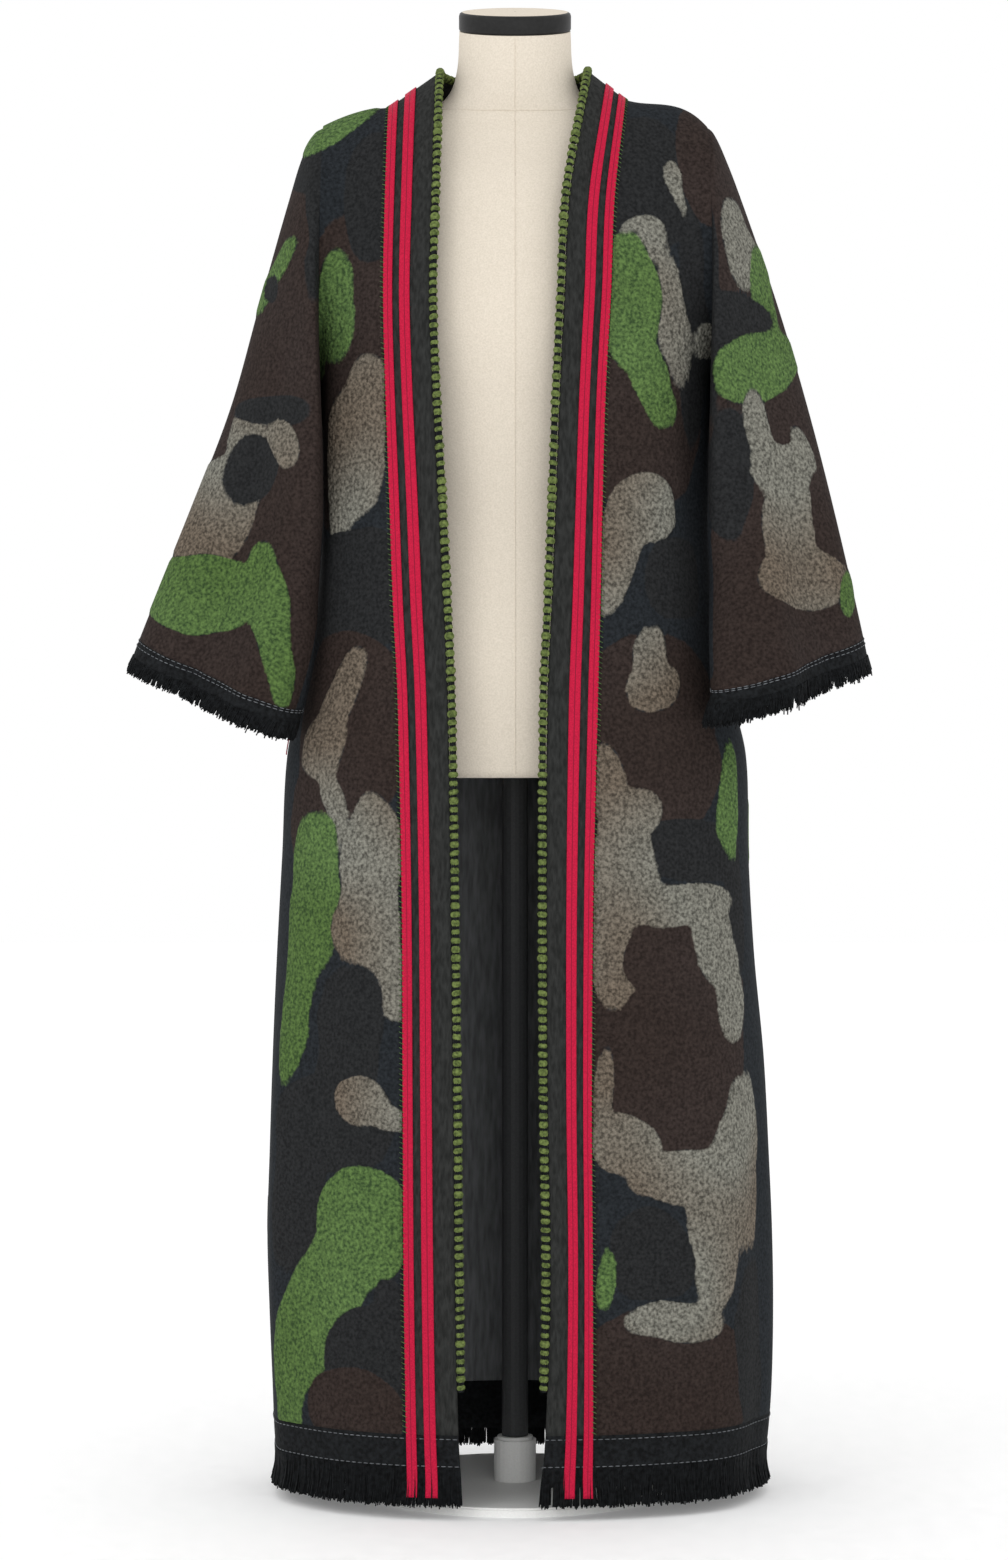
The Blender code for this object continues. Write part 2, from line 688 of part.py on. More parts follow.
def band_path(side):
    """Seam and free-edge points of a band, from the hem round to the centre back of the neck."""
    points = [(band_seam(side, z), band_edge(side, z)) for z in body_rows()]
    turns = back_turns()
    first = SHOULDER_COLUMNS
    last = SHOULDER_COLUMNS + BACK_NECK_COLUMNS
    neck = turns[first + 1 : last + 1]
    if side == RIGHT:
        neck = turns[last : last + BACK_NECK_COLUMNS][::-1]
    corner = band_edge(side, TIP_Z)
    for turn in neck:
        seam = back_point(turn, TIP_Z)
        share = min(1.0, abs(seam.x / band_seam(side, TIP_Z).x))
        deep = BACK_EDGE_DEPTH * math.sqrt(1.0 - share * share)
        points.append((seam, Vector((corner.x * share, deep, corner.z))))
    middle = Vector((side * 2.0 * SEAM_HALF, 0.0, 0.0))
    points[-1] = (points[-1][0] + middle, points[-1][1] + middle)
    return points


def band_surface(side, lift=0.0):
    """A band as a ruled strip between its seam and its free edge, moved out by a lift."""
    path = band_path(side)

    def flat(u, v):
        seam = Vector([value_at([p[0][i] for p in path], v) for i in range(3)])
        edge = Vector([value_at([p[1][i] for p in path], v) for i in range(3)])
        step = (edge - seam).normalized() * 2.0 * SEAM_HALF
        return (seam + step).lerp(edge, u)

    base = Surface(flat, (0.0, 1.0), (0.0, len(path) - 1.0), *STRIP_STEPS)

    def point(u, v):
        if not lift:
            return flat(u, v)
        return flat(u, v) + surface_normal(base, u, v, level_axis) * lift

    return Surface(point, *base[1:])


def edging(name, side, material):
    """Round cord along the free edge of a band."""
    path = band_path(side)
    rows = [i for i, pair in enumerate(path) if pair[1].z > EDGING_END_Z]
    curve = bpy.data.curves.new(name, "CURVE")
    curve.dimensions = "3D"
    curve.bevel_depth = EDGING_RADIUS
    curve.bevel_resolution = 1
    curve.use_fill_caps = True
    line = curve.splines.new("POLY")
    line.points.add(len(rows) - 1)
    for slot, i in zip(line.points, rows):
        seam, edge = path[i]
        width = (edge - seam).length
        out = (edge - seam).normalized()
        centre = seam + out * (width * BAND_COLUMNS[-1] + EDGING_RADIUS + 3.0 * SEAM_HALF)
        if i == rows[-1]:
            centre.x += side * 3.0 * SEAM_HALF
        slot.co = (*centre, 1.0)
    shape = bpy.data.objects.new(name + "_path", curve)
    CUTTERS.objects.link(shape)
    shape.hide_render = True
    shape.display_type = "WIRE"
    mesh = bmesh.new()
    flat = bpy.data.meshes.new_from_object(shape)
    mesh.from_mesh(flat)
    bpy.data.meshes.remove(flat)
    bmesh.ops.remove_doubles(mesh, verts=mesh.verts[:], dist=MERGE_DISTANCE)
    open_edges = [edge for edge in mesh.edges if edge.is_boundary]
    bmesh.ops.holes_fill(mesh, edges=open_edges, sides=0)
    bmesh.ops.recalc_face_normals(mesh, faces=mesh.faces[:])
    return keep(name, mesh, material)


def ribbon_surface(side, shares):
    """A ribbon lying on the band, run on down over the hem to its end."""
    lift = TRIM_LIFT + TRIM_WALL
    on_band = band_surface(side, lift)
    hem_shares = [1.0 + share / BAND_COLUMNS[-1] for share in shares]
    below = front_surface(side, 2.0)
    path = band_path(side)

    def point(u, v):
        if v >= 0.0:
            return on_band.point(shares[0] + (shares[1] - shares[0]) * u, v)
        z = HEM_Z + v / RIBBON_HEM_ROWS * (HEM_Z - RIBBON_END_Z)
        share = hem_shares[0] + (hem_shares[1] - hem_shares[0]) * u
        out = surface_normal(below, share, z, level_axis)
        return below.point(share, z) + out * lift

    return Surface(point, (0.0, 1.0), (-RIBBON_HEM_ROWS, len(path) - 1.0), *STRIP_STEPS)


def make_bands(charcoal, red, olive):
    """Front bands with their ribbons and corded edging."""
    for side, name in ((LEFT, "left"), (RIGHT, "right")):
        path = band_path(side)
        rows = list(range(len(path)))
        cloth("band_" + name, band_surface(side), BAND_COLUMNS, rows, charcoal)
        for kind, shares in (("outer", RIBBON_OUTER), ("inner", RIBBON_INNER)):
            strip = ribbon_surface(side, shares)
            marks = list(range(-RIBBON_HEM_ROWS, 0)) + rows
            title = "ribbon_" + name + "_" + kind
            cloth(title, strip, (0.0, 1.0), marks, red, TRIM_WALL)
        edging("edging_" + name, side, olive)


def make_hems(black):
    """Black hem strips and frayed locks below the two fronts and the back."""
    strip_rows = (FRINGE_TOP_Z + SEAM_HALF, HEM_Z - 2.0 * SEAM_HALF)
    top = FRINGE_TOP_Z - SEAM_HALF
    foot = FRINGE_TOP_Z - BACKING_HEIGHT
    heights = (top, foot, FRINGE_END_Z)
    for side, name in ((LEFT, "left"), (RIGHT, "right")):
        surface = front_surface(side, 2.0)
        columns = spread(0.0, 1.0, FRONT_COLUMNS) + [1.5, 2.0]
        cloth("hem_strip_" + name, surface, columns, strip_rows, black)

        def edge(u, side=side):
            return front_point(side, foot, u)

        places = lock_columns(edge, 0.0, 2.0, HEM_LOCK_PITCH)
        fringe("fringe_" + name, surface, places, heights, black, side + 2.0)
    surface = back_surface()
    cloth("hem_strip_back", surface, back_turns(), strip_rows, black)

    def back_edge(u):
        return back_point(u, foot)

    places = lock_columns(back_edge, 0.0, math.pi, HEM_LOCK_PITCH)
    fringe("fringe_back", surface, places, heights, black, 5.0)


def make_sleeves(knit, black):
    """Sleeves with black cuff strips and frayed ends."""
    turns = spread(0.0, 2.0 * math.pi, 2 * ARMHOLE_STEPS)
    for side, name in ((LEFT, "left"), (RIGHT, "right")):

        def point(u, v, side=side):
            return sleeve_point(side, u, v)

        def axis(v, side=side):
            outer, inner, forward = sleeve_frame(side, v)
            return 0.5 * (outer + inner)

        surface = Surface(point, (0.0, 2.0 * math.pi), (0.0, CUFF_FRINGE_END), *SLEEVE_STEPS)
        lengths = spread(0.0, 1.0, SLEEVE_RINGS)
        cloth("sleeve_" + name, surface, turns, lengths, knit, axis=axis)
        strip = (1.0 + CUFF_GAP, CUFF_STRIP_END)
        cloth("cuff_strip_" + name, surface, turns, strip, black, axis=axis)

        def edge(u, side=side):
            return sleeve_point(side, u, CUFF_BACKING_END)

        places = lock_columns(edge, 0.0, 2.0 * math.pi, CUFF_LOCK_PITCH)[:-1]
        places[-1] = 2.0 * math.pi
        heights = (CUFF_STRIP_END + CUFF_GAP, CUFF_BACKING_END, CUFF_FRINGE_END)
        fringe("cuff_fringe_" + name, surface, places, heights, black, side + 9.0, axis)


# Dress form


def torso_point(turn, z):
    """Point of the dress form's cover."""
    wide = along(TORSO, z, "half_width")
    deep = along(TORSO, z, "half_depth")
    x = wide * math.cos(turn)
    y = deep * math.sin(turn)
    return Vector((x, y, z + y * math.tan(CAP_TILT) * along(TORSO, z, "tilt")))


def make_torso(cream):
    """Closed smooth torso with a forward-tilted neck."""
    mesh = bmesh.new()
    bmesh.ops.create_grid(mesh, x_segments=TORSO_SIDES, y_segments=TORSO_ROWS, size=0.5)
    low, high = TORSO[0].z, TORSO[-1].z
    for vert in mesh.verts:
        turn = (vert.co.x + 0.5) * 2.0 * math.pi
        share = vert.co.y + 0.5
        eased = 1.0 - (1.0 - share) ** TORSO_EASE
        vert.co = torso_point(turn, low + (high - low) * eased)
    bmesh.ops.remove_doubles(mesh, verts=mesh.verts[:], dist=MERGE_DISTANCE)
    rims = [edge for edge in mesh.edges if edge.is_boundary]
    bmesh.ops.holes_fill(mesh, edges=rims, sides=0)
    bmesh.ops.recalc_face_normals(mesh, faces=mesh.faces[:])
    keep("torso", mesh, cream)


def cylinder(name, radius, low, high, material, sides=32, rounded=0.0):
    """Upright round bar or disc, with a rounded rim if stated."""
    mesh = bmesh.new()
    bmesh.ops.create_cone(
        mesh, cap_ends=True, segments=sides, radius1=radius, radius2=radius, depth=high - low
    )
    bmesh.ops.translate(mesh, verts=mesh.verts[:], vec=(0.0, 0.0, 0.5 * (low + high)))
    if rounded:
        rim = [edge for edge in mesh.edges if all(v.co.z > high - 1e-6 for v in edge.verts)]
        bmesh.ops.bevel(mesh, geom=rim, offset=rounded, segments=2, affect="EDGES")
    return keep(name, mesh, material)


def make_form(materials):
    """Torso, neck cap, pole, socket and base."""
    make_torso(materials["cream_cover"])
    cap = cylinder("neck_cap", CAP_RADIUS, 0.0, CAP_HEIGHT, materials["black_cap"], rounded=CAP_ROUND)
    top = TORSO[-1].z + PART_GAP / math.cos(CAP_TILT)
    for vert in cap.data.vertices:
        y, z = vert.co.y, vert.co.z
        vert.co.y = y * math.cos(CAP_TILT) - z * math.sin(CAP_TILT)
        vert.co.z = y * math.sin(CAP_TILT) + z * math.cos(CAP_TILT) + top
    socket_top = BASE_HEIGHT + PART_GAP + SOCKET_HEIGHT
    pole_low = socket_top + PART_GAP
    pole_high = TORSO[0].z - PART_GAP
    cylinder("pole", POLE_RADIUS, pole_low, pole_high, materials["black_pole"], sides=20)
    white = materials["white_stand"]
    cylinder("socket", SOCKET_RADIUS, BASE_HEIGHT + PART_GAP, socket_top, white, 24, SOCKET_ROUND)
    cylinder("base", BASE_RADIUS, 0.0, BASE_HEIGHT, white, 48, BASE_ROUND)


def clear_scene():
    """Start from an empty scene."""
    for item in list(bpy.data.objects):
        bpy.data.objects.remove(item, do_unlink=True)


def collection(name):
    """A new collection linked to the scene."""
    group = bpy.data.collections.new(name)
    bpy.context.scene.collection.children.link(group)
    return group


clear_scene()
PARTS = collection("knit_duster")
CUTTERS = collection("construction")
CLOTHS = {name: make_material(name) for name in MATERIALS}
make_panels(CLOTHS["camouflage_knit"])
make_sleeves(CLOTHS["camouflage_knit"], CLOTHS["black_fringe"])
make_bands(CLOTHS["charcoal_knit"], CLOTHS["red_ribbon"], CLOTHS["olive_edging"])
make_hems(CLOTHS["black_fringe"])
make_form(CLOTHS)
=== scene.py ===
"""Visual model of a knit duster on a dress form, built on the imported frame.

Metres, +Z up. The coat's front faces -Y, and left and right are the viewer's.
"""

import logging
import math
from collections import namedtuple
from dataclasses import dataclass
from enum import Enum, IntEnum
from functools import partial
from typing import Callable, Iterable, Sequence

import bpy
import numpy as np
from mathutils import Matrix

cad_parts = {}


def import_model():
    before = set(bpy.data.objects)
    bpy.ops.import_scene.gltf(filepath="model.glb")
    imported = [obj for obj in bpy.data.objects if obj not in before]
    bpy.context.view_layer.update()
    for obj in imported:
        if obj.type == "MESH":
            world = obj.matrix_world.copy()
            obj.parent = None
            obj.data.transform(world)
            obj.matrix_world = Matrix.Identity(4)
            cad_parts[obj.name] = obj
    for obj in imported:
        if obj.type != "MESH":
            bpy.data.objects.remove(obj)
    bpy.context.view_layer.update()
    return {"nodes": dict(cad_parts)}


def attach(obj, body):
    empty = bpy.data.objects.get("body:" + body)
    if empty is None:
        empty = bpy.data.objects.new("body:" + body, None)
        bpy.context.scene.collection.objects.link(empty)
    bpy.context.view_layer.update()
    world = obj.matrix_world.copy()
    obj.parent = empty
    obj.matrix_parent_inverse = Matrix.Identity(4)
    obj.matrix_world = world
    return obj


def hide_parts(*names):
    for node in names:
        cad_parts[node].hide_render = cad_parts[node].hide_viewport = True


LOG = logging.getLogger("knit_duster")

# Short names of types
Array = np.ndarray
Piece = bpy.types.Object
Finish = bpy.types.Material
Socket = bpy.types.NodeSocket
Colour = tuple[float, float, float, float]
Layout = Callable[[Array, Array], Array]

# Inputs of a colour mix node, and its output
FACTOR, FIRST, SECOND, MIXED = 0, 6, 7, 2

# How far below a shoulder the point lies that it faces away from
SHOULDER_LOOK_UP = 0.30

# Upright share above which a tube's sides are laid out from X instead of Z
STEEP = 0.9

# Share of a pitch over which a path's direction is taken, and a step that keeps it from being nothing
LOOK_AHEAD, NO_MOVE = 0.3, 1e-9


class Side(IntEnum):
    """The viewer's sides, as signs of X."""

    LEFT = -1
    RIGHT = 1

    @property
    def label(self) -> str:
        """Name the side."""
        return self.name.lower()


LEFT, RIGHT = Side


class BandLine(Enum):
    """The two long borders of a front band."""

    SEAM = "seam"
    EDGE = "edge"


# Body sections: half widths to the side seams or armholes, and depths at the middle
Section = namedtuple("Section", "z left right front back")
BODY = (
    Section(0.000, 0.224, 0.234, 0.160, 0.160),
    Section(0.031, 0.226, 0.237, 0.160, 0.160),
    Section(0.055, 0.229, 0.241, 0.160, 0.160),
    Section(0.103, 0.231, 0.2445, 0.160, 0.160),
    Section(0.175, 0.234, 0.246, 0.159, 0.159),
    Section(0.246, 0.236, 0.245, 0.158, 0.158),
    Section(0.318, 0.234, 0.242, 0.156, 0.157),
    Section(0.413, 0.231, 0.237, 0.154, 0.155),
    Section(0.509, 0.227, 0.228, 0.151, 0.152),
    Section(0.604, 0.222, 0.2225, 0.148, 0.150),
    Section(0.700, 0.217, 0.220, 0.145, 0.147),
    Section(0.767, 0.203, 0.204, 0.140, 0.143),
    Section(0.867, 0.189, 0.190, 0.134, 0.138),
    Section(0.967, 0.1860, 0.1870, 0.129, 0.134),
    Section(1.018, 0.1855, 0.1865, 0.129, 0.133),
    Section(1.057, 0.185, 0.186, 0.130, 0.132),
    Section(1.299, 0.182, 0.183, 0.130, 0.132),
)

# Front band: distance of its seam and of its free edge from the middle
Band = namedtuple("Band", "z seam_left edge_left seam_right edge_right")
BANDS = (
    Band(0.000, -0.0990, -0.0390, 0.0705, 0.0130),
    Band(0.077, -0.1008, -0.0445, 0.0715, 0.0203),
    Band(0.220, -0.1030, -0.0470, 0.0713, 0.0250),
    Band(0.384, -0.1040, -0.0490, 0.0705, 0.0224),
    Band(0.567, -0.1050, -0.0515, 0.0720, 0.0212),
    Band(0.749, -0.1090, -0.0545, 0.0765, 0.0216),
    Band(0.841, -0.1137, -0.0582, 0.0790, 0.0260),
    Band(0.933, -0.1170, -0.0630, 0.0810, 0.0300),
    Band(1.037, -0.1208, -0.0690, 0.0840, 0.0340),
    Band(1.128, -0.1230, -0.0723, 0.0890, 0.0384),
    Band(1.214, -0.1220, -0.0700, 0.0930, 0.0440),
    Band(1.299, -0.1200, -0.0670, 0.1050, 0.0670),
)

# Sleeve rings from the armhole to the stitch line, with the ring at the fringe ends as last row
Ring = namedtuple("Ring", "at outer_x outer_y outer_z inner_x inner_y inner_z depth turned")
SLEEVES = {
    LEFT: (
        Ring(0, -0.1826, 0.000, 1.299, -0.1856, 0.000, 1.057, 0.070, 0.0),
        Ring(1, -0.2015, 0.002, 1.273, -0.1830, -0.042, 1.018, 0.064, -4.5),
        Ring(2, -0.2170, 0.005, 1.225, -0.1800, -0.070, 0.975, 0.056, -5.0),
        Ring(3, -0.2435, 0.012, 1.130, -0.1800, -0.080, 0.915, 0.044, 0.0),
        Ring(4, -0.2685, 0.018, 1.034, -0.1860, -0.081, 0.860, 0.036, 14.0),
        Ring(5, -0.3035, 0.018, 0.939, -0.1900, -0.086, 0.800, 0.036, 24.0),
        Ring(6, -0.3560, 0.008, 0.803, -0.2020, -0.088, 0.737, 0.044, 30.0),
        Ring(7, -0.3625, 0.006, 0.782, -0.2110, -0.092, 0.713, 0.046, 30.0),
    ),
    RIGHT: (
        Ring(0, 0.1836, 0.000, 1.299, 0.1866, 0.000, 1.057, 0.070, 0.0),
        Ring(1, 0.1990, 0.002, 1.273, 0.1840, -0.042, 1.018, 0.064, -5.0),
        Ring(2, 0.2177, 0.005, 1.225, 0.1810, -0.070, 0.975, 0.055, -5.0),
        Ring(3, 0.2500, 0.012, 1.130, 0.1800, -0.084, 0.915, 0.042, 1.0),
        Ring(4, 0.2755, 0.012, 1.034, 0.1840, -0.095, 0.860, 0.036, 18.0),
        Ring(5, 0.2965, 0.004, 0.939, 0.1840, -0.118, 0.802, 0.036, 32.0),
        Ring(6, 0.3230, -0.010, 0.804, 0.1860, -0.135, 0.755, 0.042, 40.0),
        Ring(7, 0.3270, -0.012, 0.780, 0.1790, -0.140, 0.723, 0.046, 40.0),
    ),
}

# Folds that stand out of a panel (height above 0) or sink into it, across its shares
Fold = namedtuple("Fold", "centre width height foot top")
FOLDS = {
    "front_left": (
        Fold(0.30, 0.12, 0.005, -0.10, 0.55),
        Fold(0.62, 0.13, -0.004, 0.02, 0.70),
        Fold(0.45, 0.16, 0.004, 0.75, 1.15),
    ),
    "front_right": (
        Fold(0.28, 0.11, -0.005, -0.10, 0.50),
        Fold(0.58, 0.14, 0.005, -0.10, 0.62),
        Fold(0.40, 0.15, -0.005, 0.70, 1.12),
    ),
    "back": (
        Fold(0.17, 0.06, 0.006, -0.10, 0.60),
        Fold(0.33, 0.07, -0.007, -0.10, 0.72),
        Fold(0.52, 0.08, 0.006, -0.10, 0.55),
        Fold(0.70, 0.06, -0.006, -0.10, 0.80),
        Fold(0.84, 0.06, 0.005, -0.10, 0.52),
        Fold(0.42, 0.10, -0.006, 0.80, 1.18),
    ),
}

# Creases along a sleeve, from a share of its length down to the cuff
Crease = namedtuple("Crease", "angle width height start")
CREASES = {
    LEFT: (
        Crease(142.0, 24.0, 0.011, 0.30),
        Crease(104.0, 22.0, -0.008, 0.40),
        Crease(48.0, 26.0, 0.006, 0.25),
        Crease(122.0, 8.0, 0.009, 0.15),
        Crease(84.0, 9.0, -0.008, 0.20),
        Crease(238.0, 28.0, -0.007, 0.30),
        Crease(300.0, 24.0, 0.006, 0.35),
    ),
    RIGHT: (
        Crease(132.0, 22.0, 0.008, 0.35),
        Crease(92.0, 22.0, -0.007, 0.30),
        Crease(45.0, 24.0, 0.006, 0.35),
        Crease(112.0, 9.0, 0.008, 0.20),
        Crease(74.0, 9.0, -0.007, 0.30),
        Crease(250.0, 26.0, -0.006, 0.30),
        Crease(305.0, 26.0, 0.005, 0.30),
    ),
}

# Dress form sections
Torso = namedtuple("Torso", "z half_width half_depth tilt")
TORSO = (
    Torso(0.678, 0.165, 0.112, 0.0),
    Torso(0.720, 0.168, 0.113, 0.0),
    Torso(0.790, 0.168, 0.113, 0.0),
    Torso(0.867, 0.150, 0.104, 0.0),
    Torso(0.937, 0.133, 0.096, 0.0),
    Torso(1.017, 0.140, 0.101, 0.0),
    Torso(1.097, 0.156, 0.110, 0.0),
    Torso(1.167, 0.160, 0.101, 0.0),
    Torso(1.237, 0.163, 0.080, 0.0),
    Torso(1.272, 0.162, 0.060, 0.0),
    Torso(1.288, 0.156, 0.052, 0.0),
    Torso(1.298, 0.141, 0.046, 0.0),
    Torso(1.305, 0.117, 0.044, 0.0),
    Torso(1.311, 0.092, 0.045, 0.0),
    Torso(1.325, 0.067, 0.048, 0.0),
    Torso(1.350, 0.056, 0.051, 0.20),
    Torso(1.391, 0.0530, 0.052, 1.0),
)


class Yarn(Enum):
    """Yarns of the camouflage over its navy-black ground."""

    BROWN = "brown"
    BLACK = "black"
    GREEN = "green"
    TAUPE = "taupe"


# Yarns that stand up in loops
LOOPED = (Yarn.GREEN, Yarn.TAUPE)

# Camouflage patches in millimetres, set loosely as seen from the front, later ones over earlier ones
Patch = namedtuple("Patch", "yarn x z half_width half_height tilt")
PATCHES = {
    "front_left": (
        Patch(Yarn.BROWN, -152, 1100, 50, 110, 0),
        Patch(Yarn.BROWN, -178, 1000, 30, 90, 0),
        Patch(Yarn.BLACK, -129, 1225, 34, 66, 0),
        Patch(Yarn.GREEN, -170, 1301, 42, 13, 33),
        Patch(Yarn.GREEN, -165, 1120, 18, 56, 4),
        Patch(Yarn.GREEN, -182, 1066, 7, 16, 0),
        Patch(Yarn.TAUPE, -147, 978, 29, 63, -5),
        Patch(Yarn.TAUPE, -135, 1038, 15, 32, -10),
        Patch(Yarn.TAUPE, -160, 925, 12, 24, -8),
        Patch(Yarn.BLACK, -150, 848, 58, 58, 0),
        Patch(Yarn.BROWN, -152, 724, 62, 84, 0),
        Patch(Yarn.BROWN, -198, 640, 24, 40, 0),
        Patch(Yarn.TAUPE, -157, 752, 16, 44, -24),
        Patch(Yarn.TAUPE, -178, 705, 24, 32, -30),
        Patch(Yarn.TAUPE, -172, 652, 9, 33, 8),
        Patch(Yarn.GREEN, -189, 566, 24, 78, -3),
        Patch(Yarn.GREEN, -207, 462, 16, 66, -8),
        Patch(Yarn.TAUPE, -133, 584, 30, 80, 0),
        Patch(Yarn.TAUPE, -117, 498, 15, 44, 14),
        Patch(Yarn.TAUPE, -158, 536, 12, 26, 0),
        Patch(Yarn.BLACK, -150, 437, 33, 70, 0),
        Patch(Yarn.BLACK, -168, 360, 60, 44, 0),
        Patch(Yarn.BLACK, -207, 300, 25, 80, -6),
        Patch(Yarn.TAUPE, -138, 376, 24, 22, 0),
        Patch(Yarn.TAUPE, -112, 364, 16, 11, 0),
        Patch(Yarn.GREEN, -140, 268, 48, 56, 0),
        Patch(Yarn.GREEN, -184, 186, 38, 82, -20),
        Patch(Yarn.GREEN, -213, 108, 16, 50, 0),
        Patch(Yarn.BLACK, -126, 140, 46, 56, 0),
        Patch(Yarn.BROWN, -146, 96, 46, 40, 0),
        Patch(Yarn.BLACK, -114, 196, 16, 26, 0),
    ),
    "front_right": (
        Patch(Yarn.BROWN, 115, 1000, 58, 74, 0),
        Patch(Yarn.BROWN, 126, 716, 66, 96, 0),
        Patch(Yarn.BROWN, 142, 440, 74, 140, 0),
        Patch(Yarn.BROWN, 142, 122, 84, 70, 0),
        Patch(Yarn.BLACK, 122, 1236, 46, 66, 0),
        Patch(Yarn.BLACK, 163, 1100, 14, 110, 0),
        Patch(Yarn.BROWN, 186, 1262, 32, 70, 0),
        Patch(Yarn.TAUPE, 147, 1245, 8, 14, 0),
        Patch(Yarn.TAUPE, 151, 1226, 5, 22, 8),
        Patch(Yarn.TAUPE, 145, 1108, 12, 60, 6),
        Patch(Yarn.TAUPE, 118, 1180, 18, 20, 20),
        Patch(Yarn.GREEN, 109, 1122, 25, 64, 4),
        Patch(Yarn.GREEN, 126, 1050, 16, 46, 14),
        Patch(Yarn.TAUPE, 173, 1084, 10, 16, 0),
        Patch(Yarn.TAUPE, 121, 925, 29, 32, 0),
        Patch(Yarn.TAUPE, 97, 880, 18, 52, -12),
        Patch(Yarn.BLACK, 152, 862, 30, 38, 0),
        Patch(Yarn.TAUPE, 128, 787, 14, 32, 0),
        Patch(Yarn.TAUPE, 133, 758, 25, 20, 0),
        Patch(Yarn.BLACK, 163, 612, 56, 30, 0),
        Patch(Yarn.BLACK, 207, 570, 15, 76, 0),
        Patch(Yarn.TAUPE, 86, 668, 15, 48, 0),
        Patch(Yarn.TAUPE, 112, 645, 20, 26, 0),
        Patch(Yarn.TAUPE, 99, 590, 30, 46, 0),
        Patch(Yarn.TAUPE, 89, 515, 21, 54, 0),
        Patch(Yarn.TAUPE, 152, 562, 46, 18, 4),
        Patch(Yarn.TAUPE, 180, 528, 19, 40, 16),
        Patch(Yarn.TAUPE, 198, 470, 15, 36, 10),
        Patch(Yarn.BROWN, 128, 510, 29, 34, -20),
        Patch(Yarn.BROWN, 138, 418, 52, 74, 0),
        Patch(Yarn.TAUPE, 83, 388, 10, 36, 0),
        Patch(Yarn.TAUPE, 108, 342, 34, 27, -32),
        Patch(Yarn.TAUPE, 154, 308, 48, 24, 0),
        Patch(Yarn.TAUPE, 200, 352, 15, 44, -14),
        Patch(Yarn.TAUPE, 184, 250, 25, 60, 0),
        Patch(Yarn.TAUPE, 150, 176, 46, 20, 0),
        Patch(Yarn.BLACK, 124, 238, 37, 42, 0),
        Patch(Yarn.GREEN, 82, 218, 9, 26, -4),
        Patch(Yarn.TAUPE, 220, 318, 14, 74, 0),
        Patch(Yarn.BLACK, 225, 140, 17, 92, 0),
        Patch(Yarn.GREEN, 205, 660, 16, 54, 0),
    ),
    "sleeve_left": (
        Patch(Yarn.BROWN, -250, 960, 130, 360, -20),
        Patch(Yarn.BLACK, -184, 1210, 13, 80, 0),
        Patch(Yarn.BLACK, -192, 1262, 26, 30, 0),
        Patch(Yarn.GREEN, -190, 1288, 20, 10, 42),
        Patch(Yarn.GREEN, -219, 1168, 9, 22, -20),
        Patch(Yarn.GREEN, -236, 1136, 7, 16, -20),
        Patch(Yarn.BLACK, -227, 1142, 8, 12, 0),
        Patch(Yarn.TAUPE, -256, 1004, 18, 32, -18),
        Patch(Yarn.TAUPE, -285, 930, 42, 56, -20),
        Patch(Yarn.BLACK, -226, 1022, 40, 14, -12),
        Patch(Yarn.BLACK, -254, 968, 26, 34, -12),
        Patch(Yarn.TAUPE, -218, 989, 16, 23, 12),
        Patch(Yarn.GREEN, -294, 850, 54, 40, -6),
        Patch(Yarn.GREEN, -229, 838, 21, 58, 6),
        Patch(Yarn.GREEN, -218, 786, 12, 38, 0),
    ),
    "sleeve_right": (
        Patch(Yarn.BROWN, 240, 980, 130, 360, 16),
        Patch(Yarn.BLACK, 176, 1120, 14, 100, 0),
        Patch(Yarn.TAUPE, 212, 1180, 17, 48, 10),
        Patch(Yarn.GREEN, 237, 1140, 12, 44, 10),
        Patch(Yarn.BLACK, 206, 1104, 42, 24, 0),
        Patch(Yarn.GREEN, 222, 1060, 44, 30, 20),
        Patch(Yarn.GREEN, 250, 1078, 20, 20, 0),
        Patch(Yarn.BLACK, 196, 960, 22, 60, 0),
        Patch(Yarn.TAUPE, 224, 1002, 14, 40, 6),
        Patch(Yarn.TAUPE, 247, 966, 32, 24, 0),
        Patch(Yarn.TAUPE, 272, 985, 9, 24, 14),
        Patch(Yarn.TAUPE, 254, 912, 25, 46, 8),
        Patch(Yarn.TAUPE, 272, 866, 48, 27, -6),
        Patch(Yarn.BROWN, 292, 930, 18, 36, 8),
        Patch(Yarn.GREEN, 317, 852, 8, 22, 0),
    ),
}


# Small helpers for curves and uneven values

# Factors of a steep sine that makes repeatable uneven values from whole numbers
SCATTER_X, SCATTER_Y, SCATTER_SEED, SCATTER_SPREAD = 127.1, 311.7, 74.7, 43758.5453

# Shortest length that a vector is divided by
SMALLEST = 1e-12

# Millimetres in a metre
MM = 1000.0


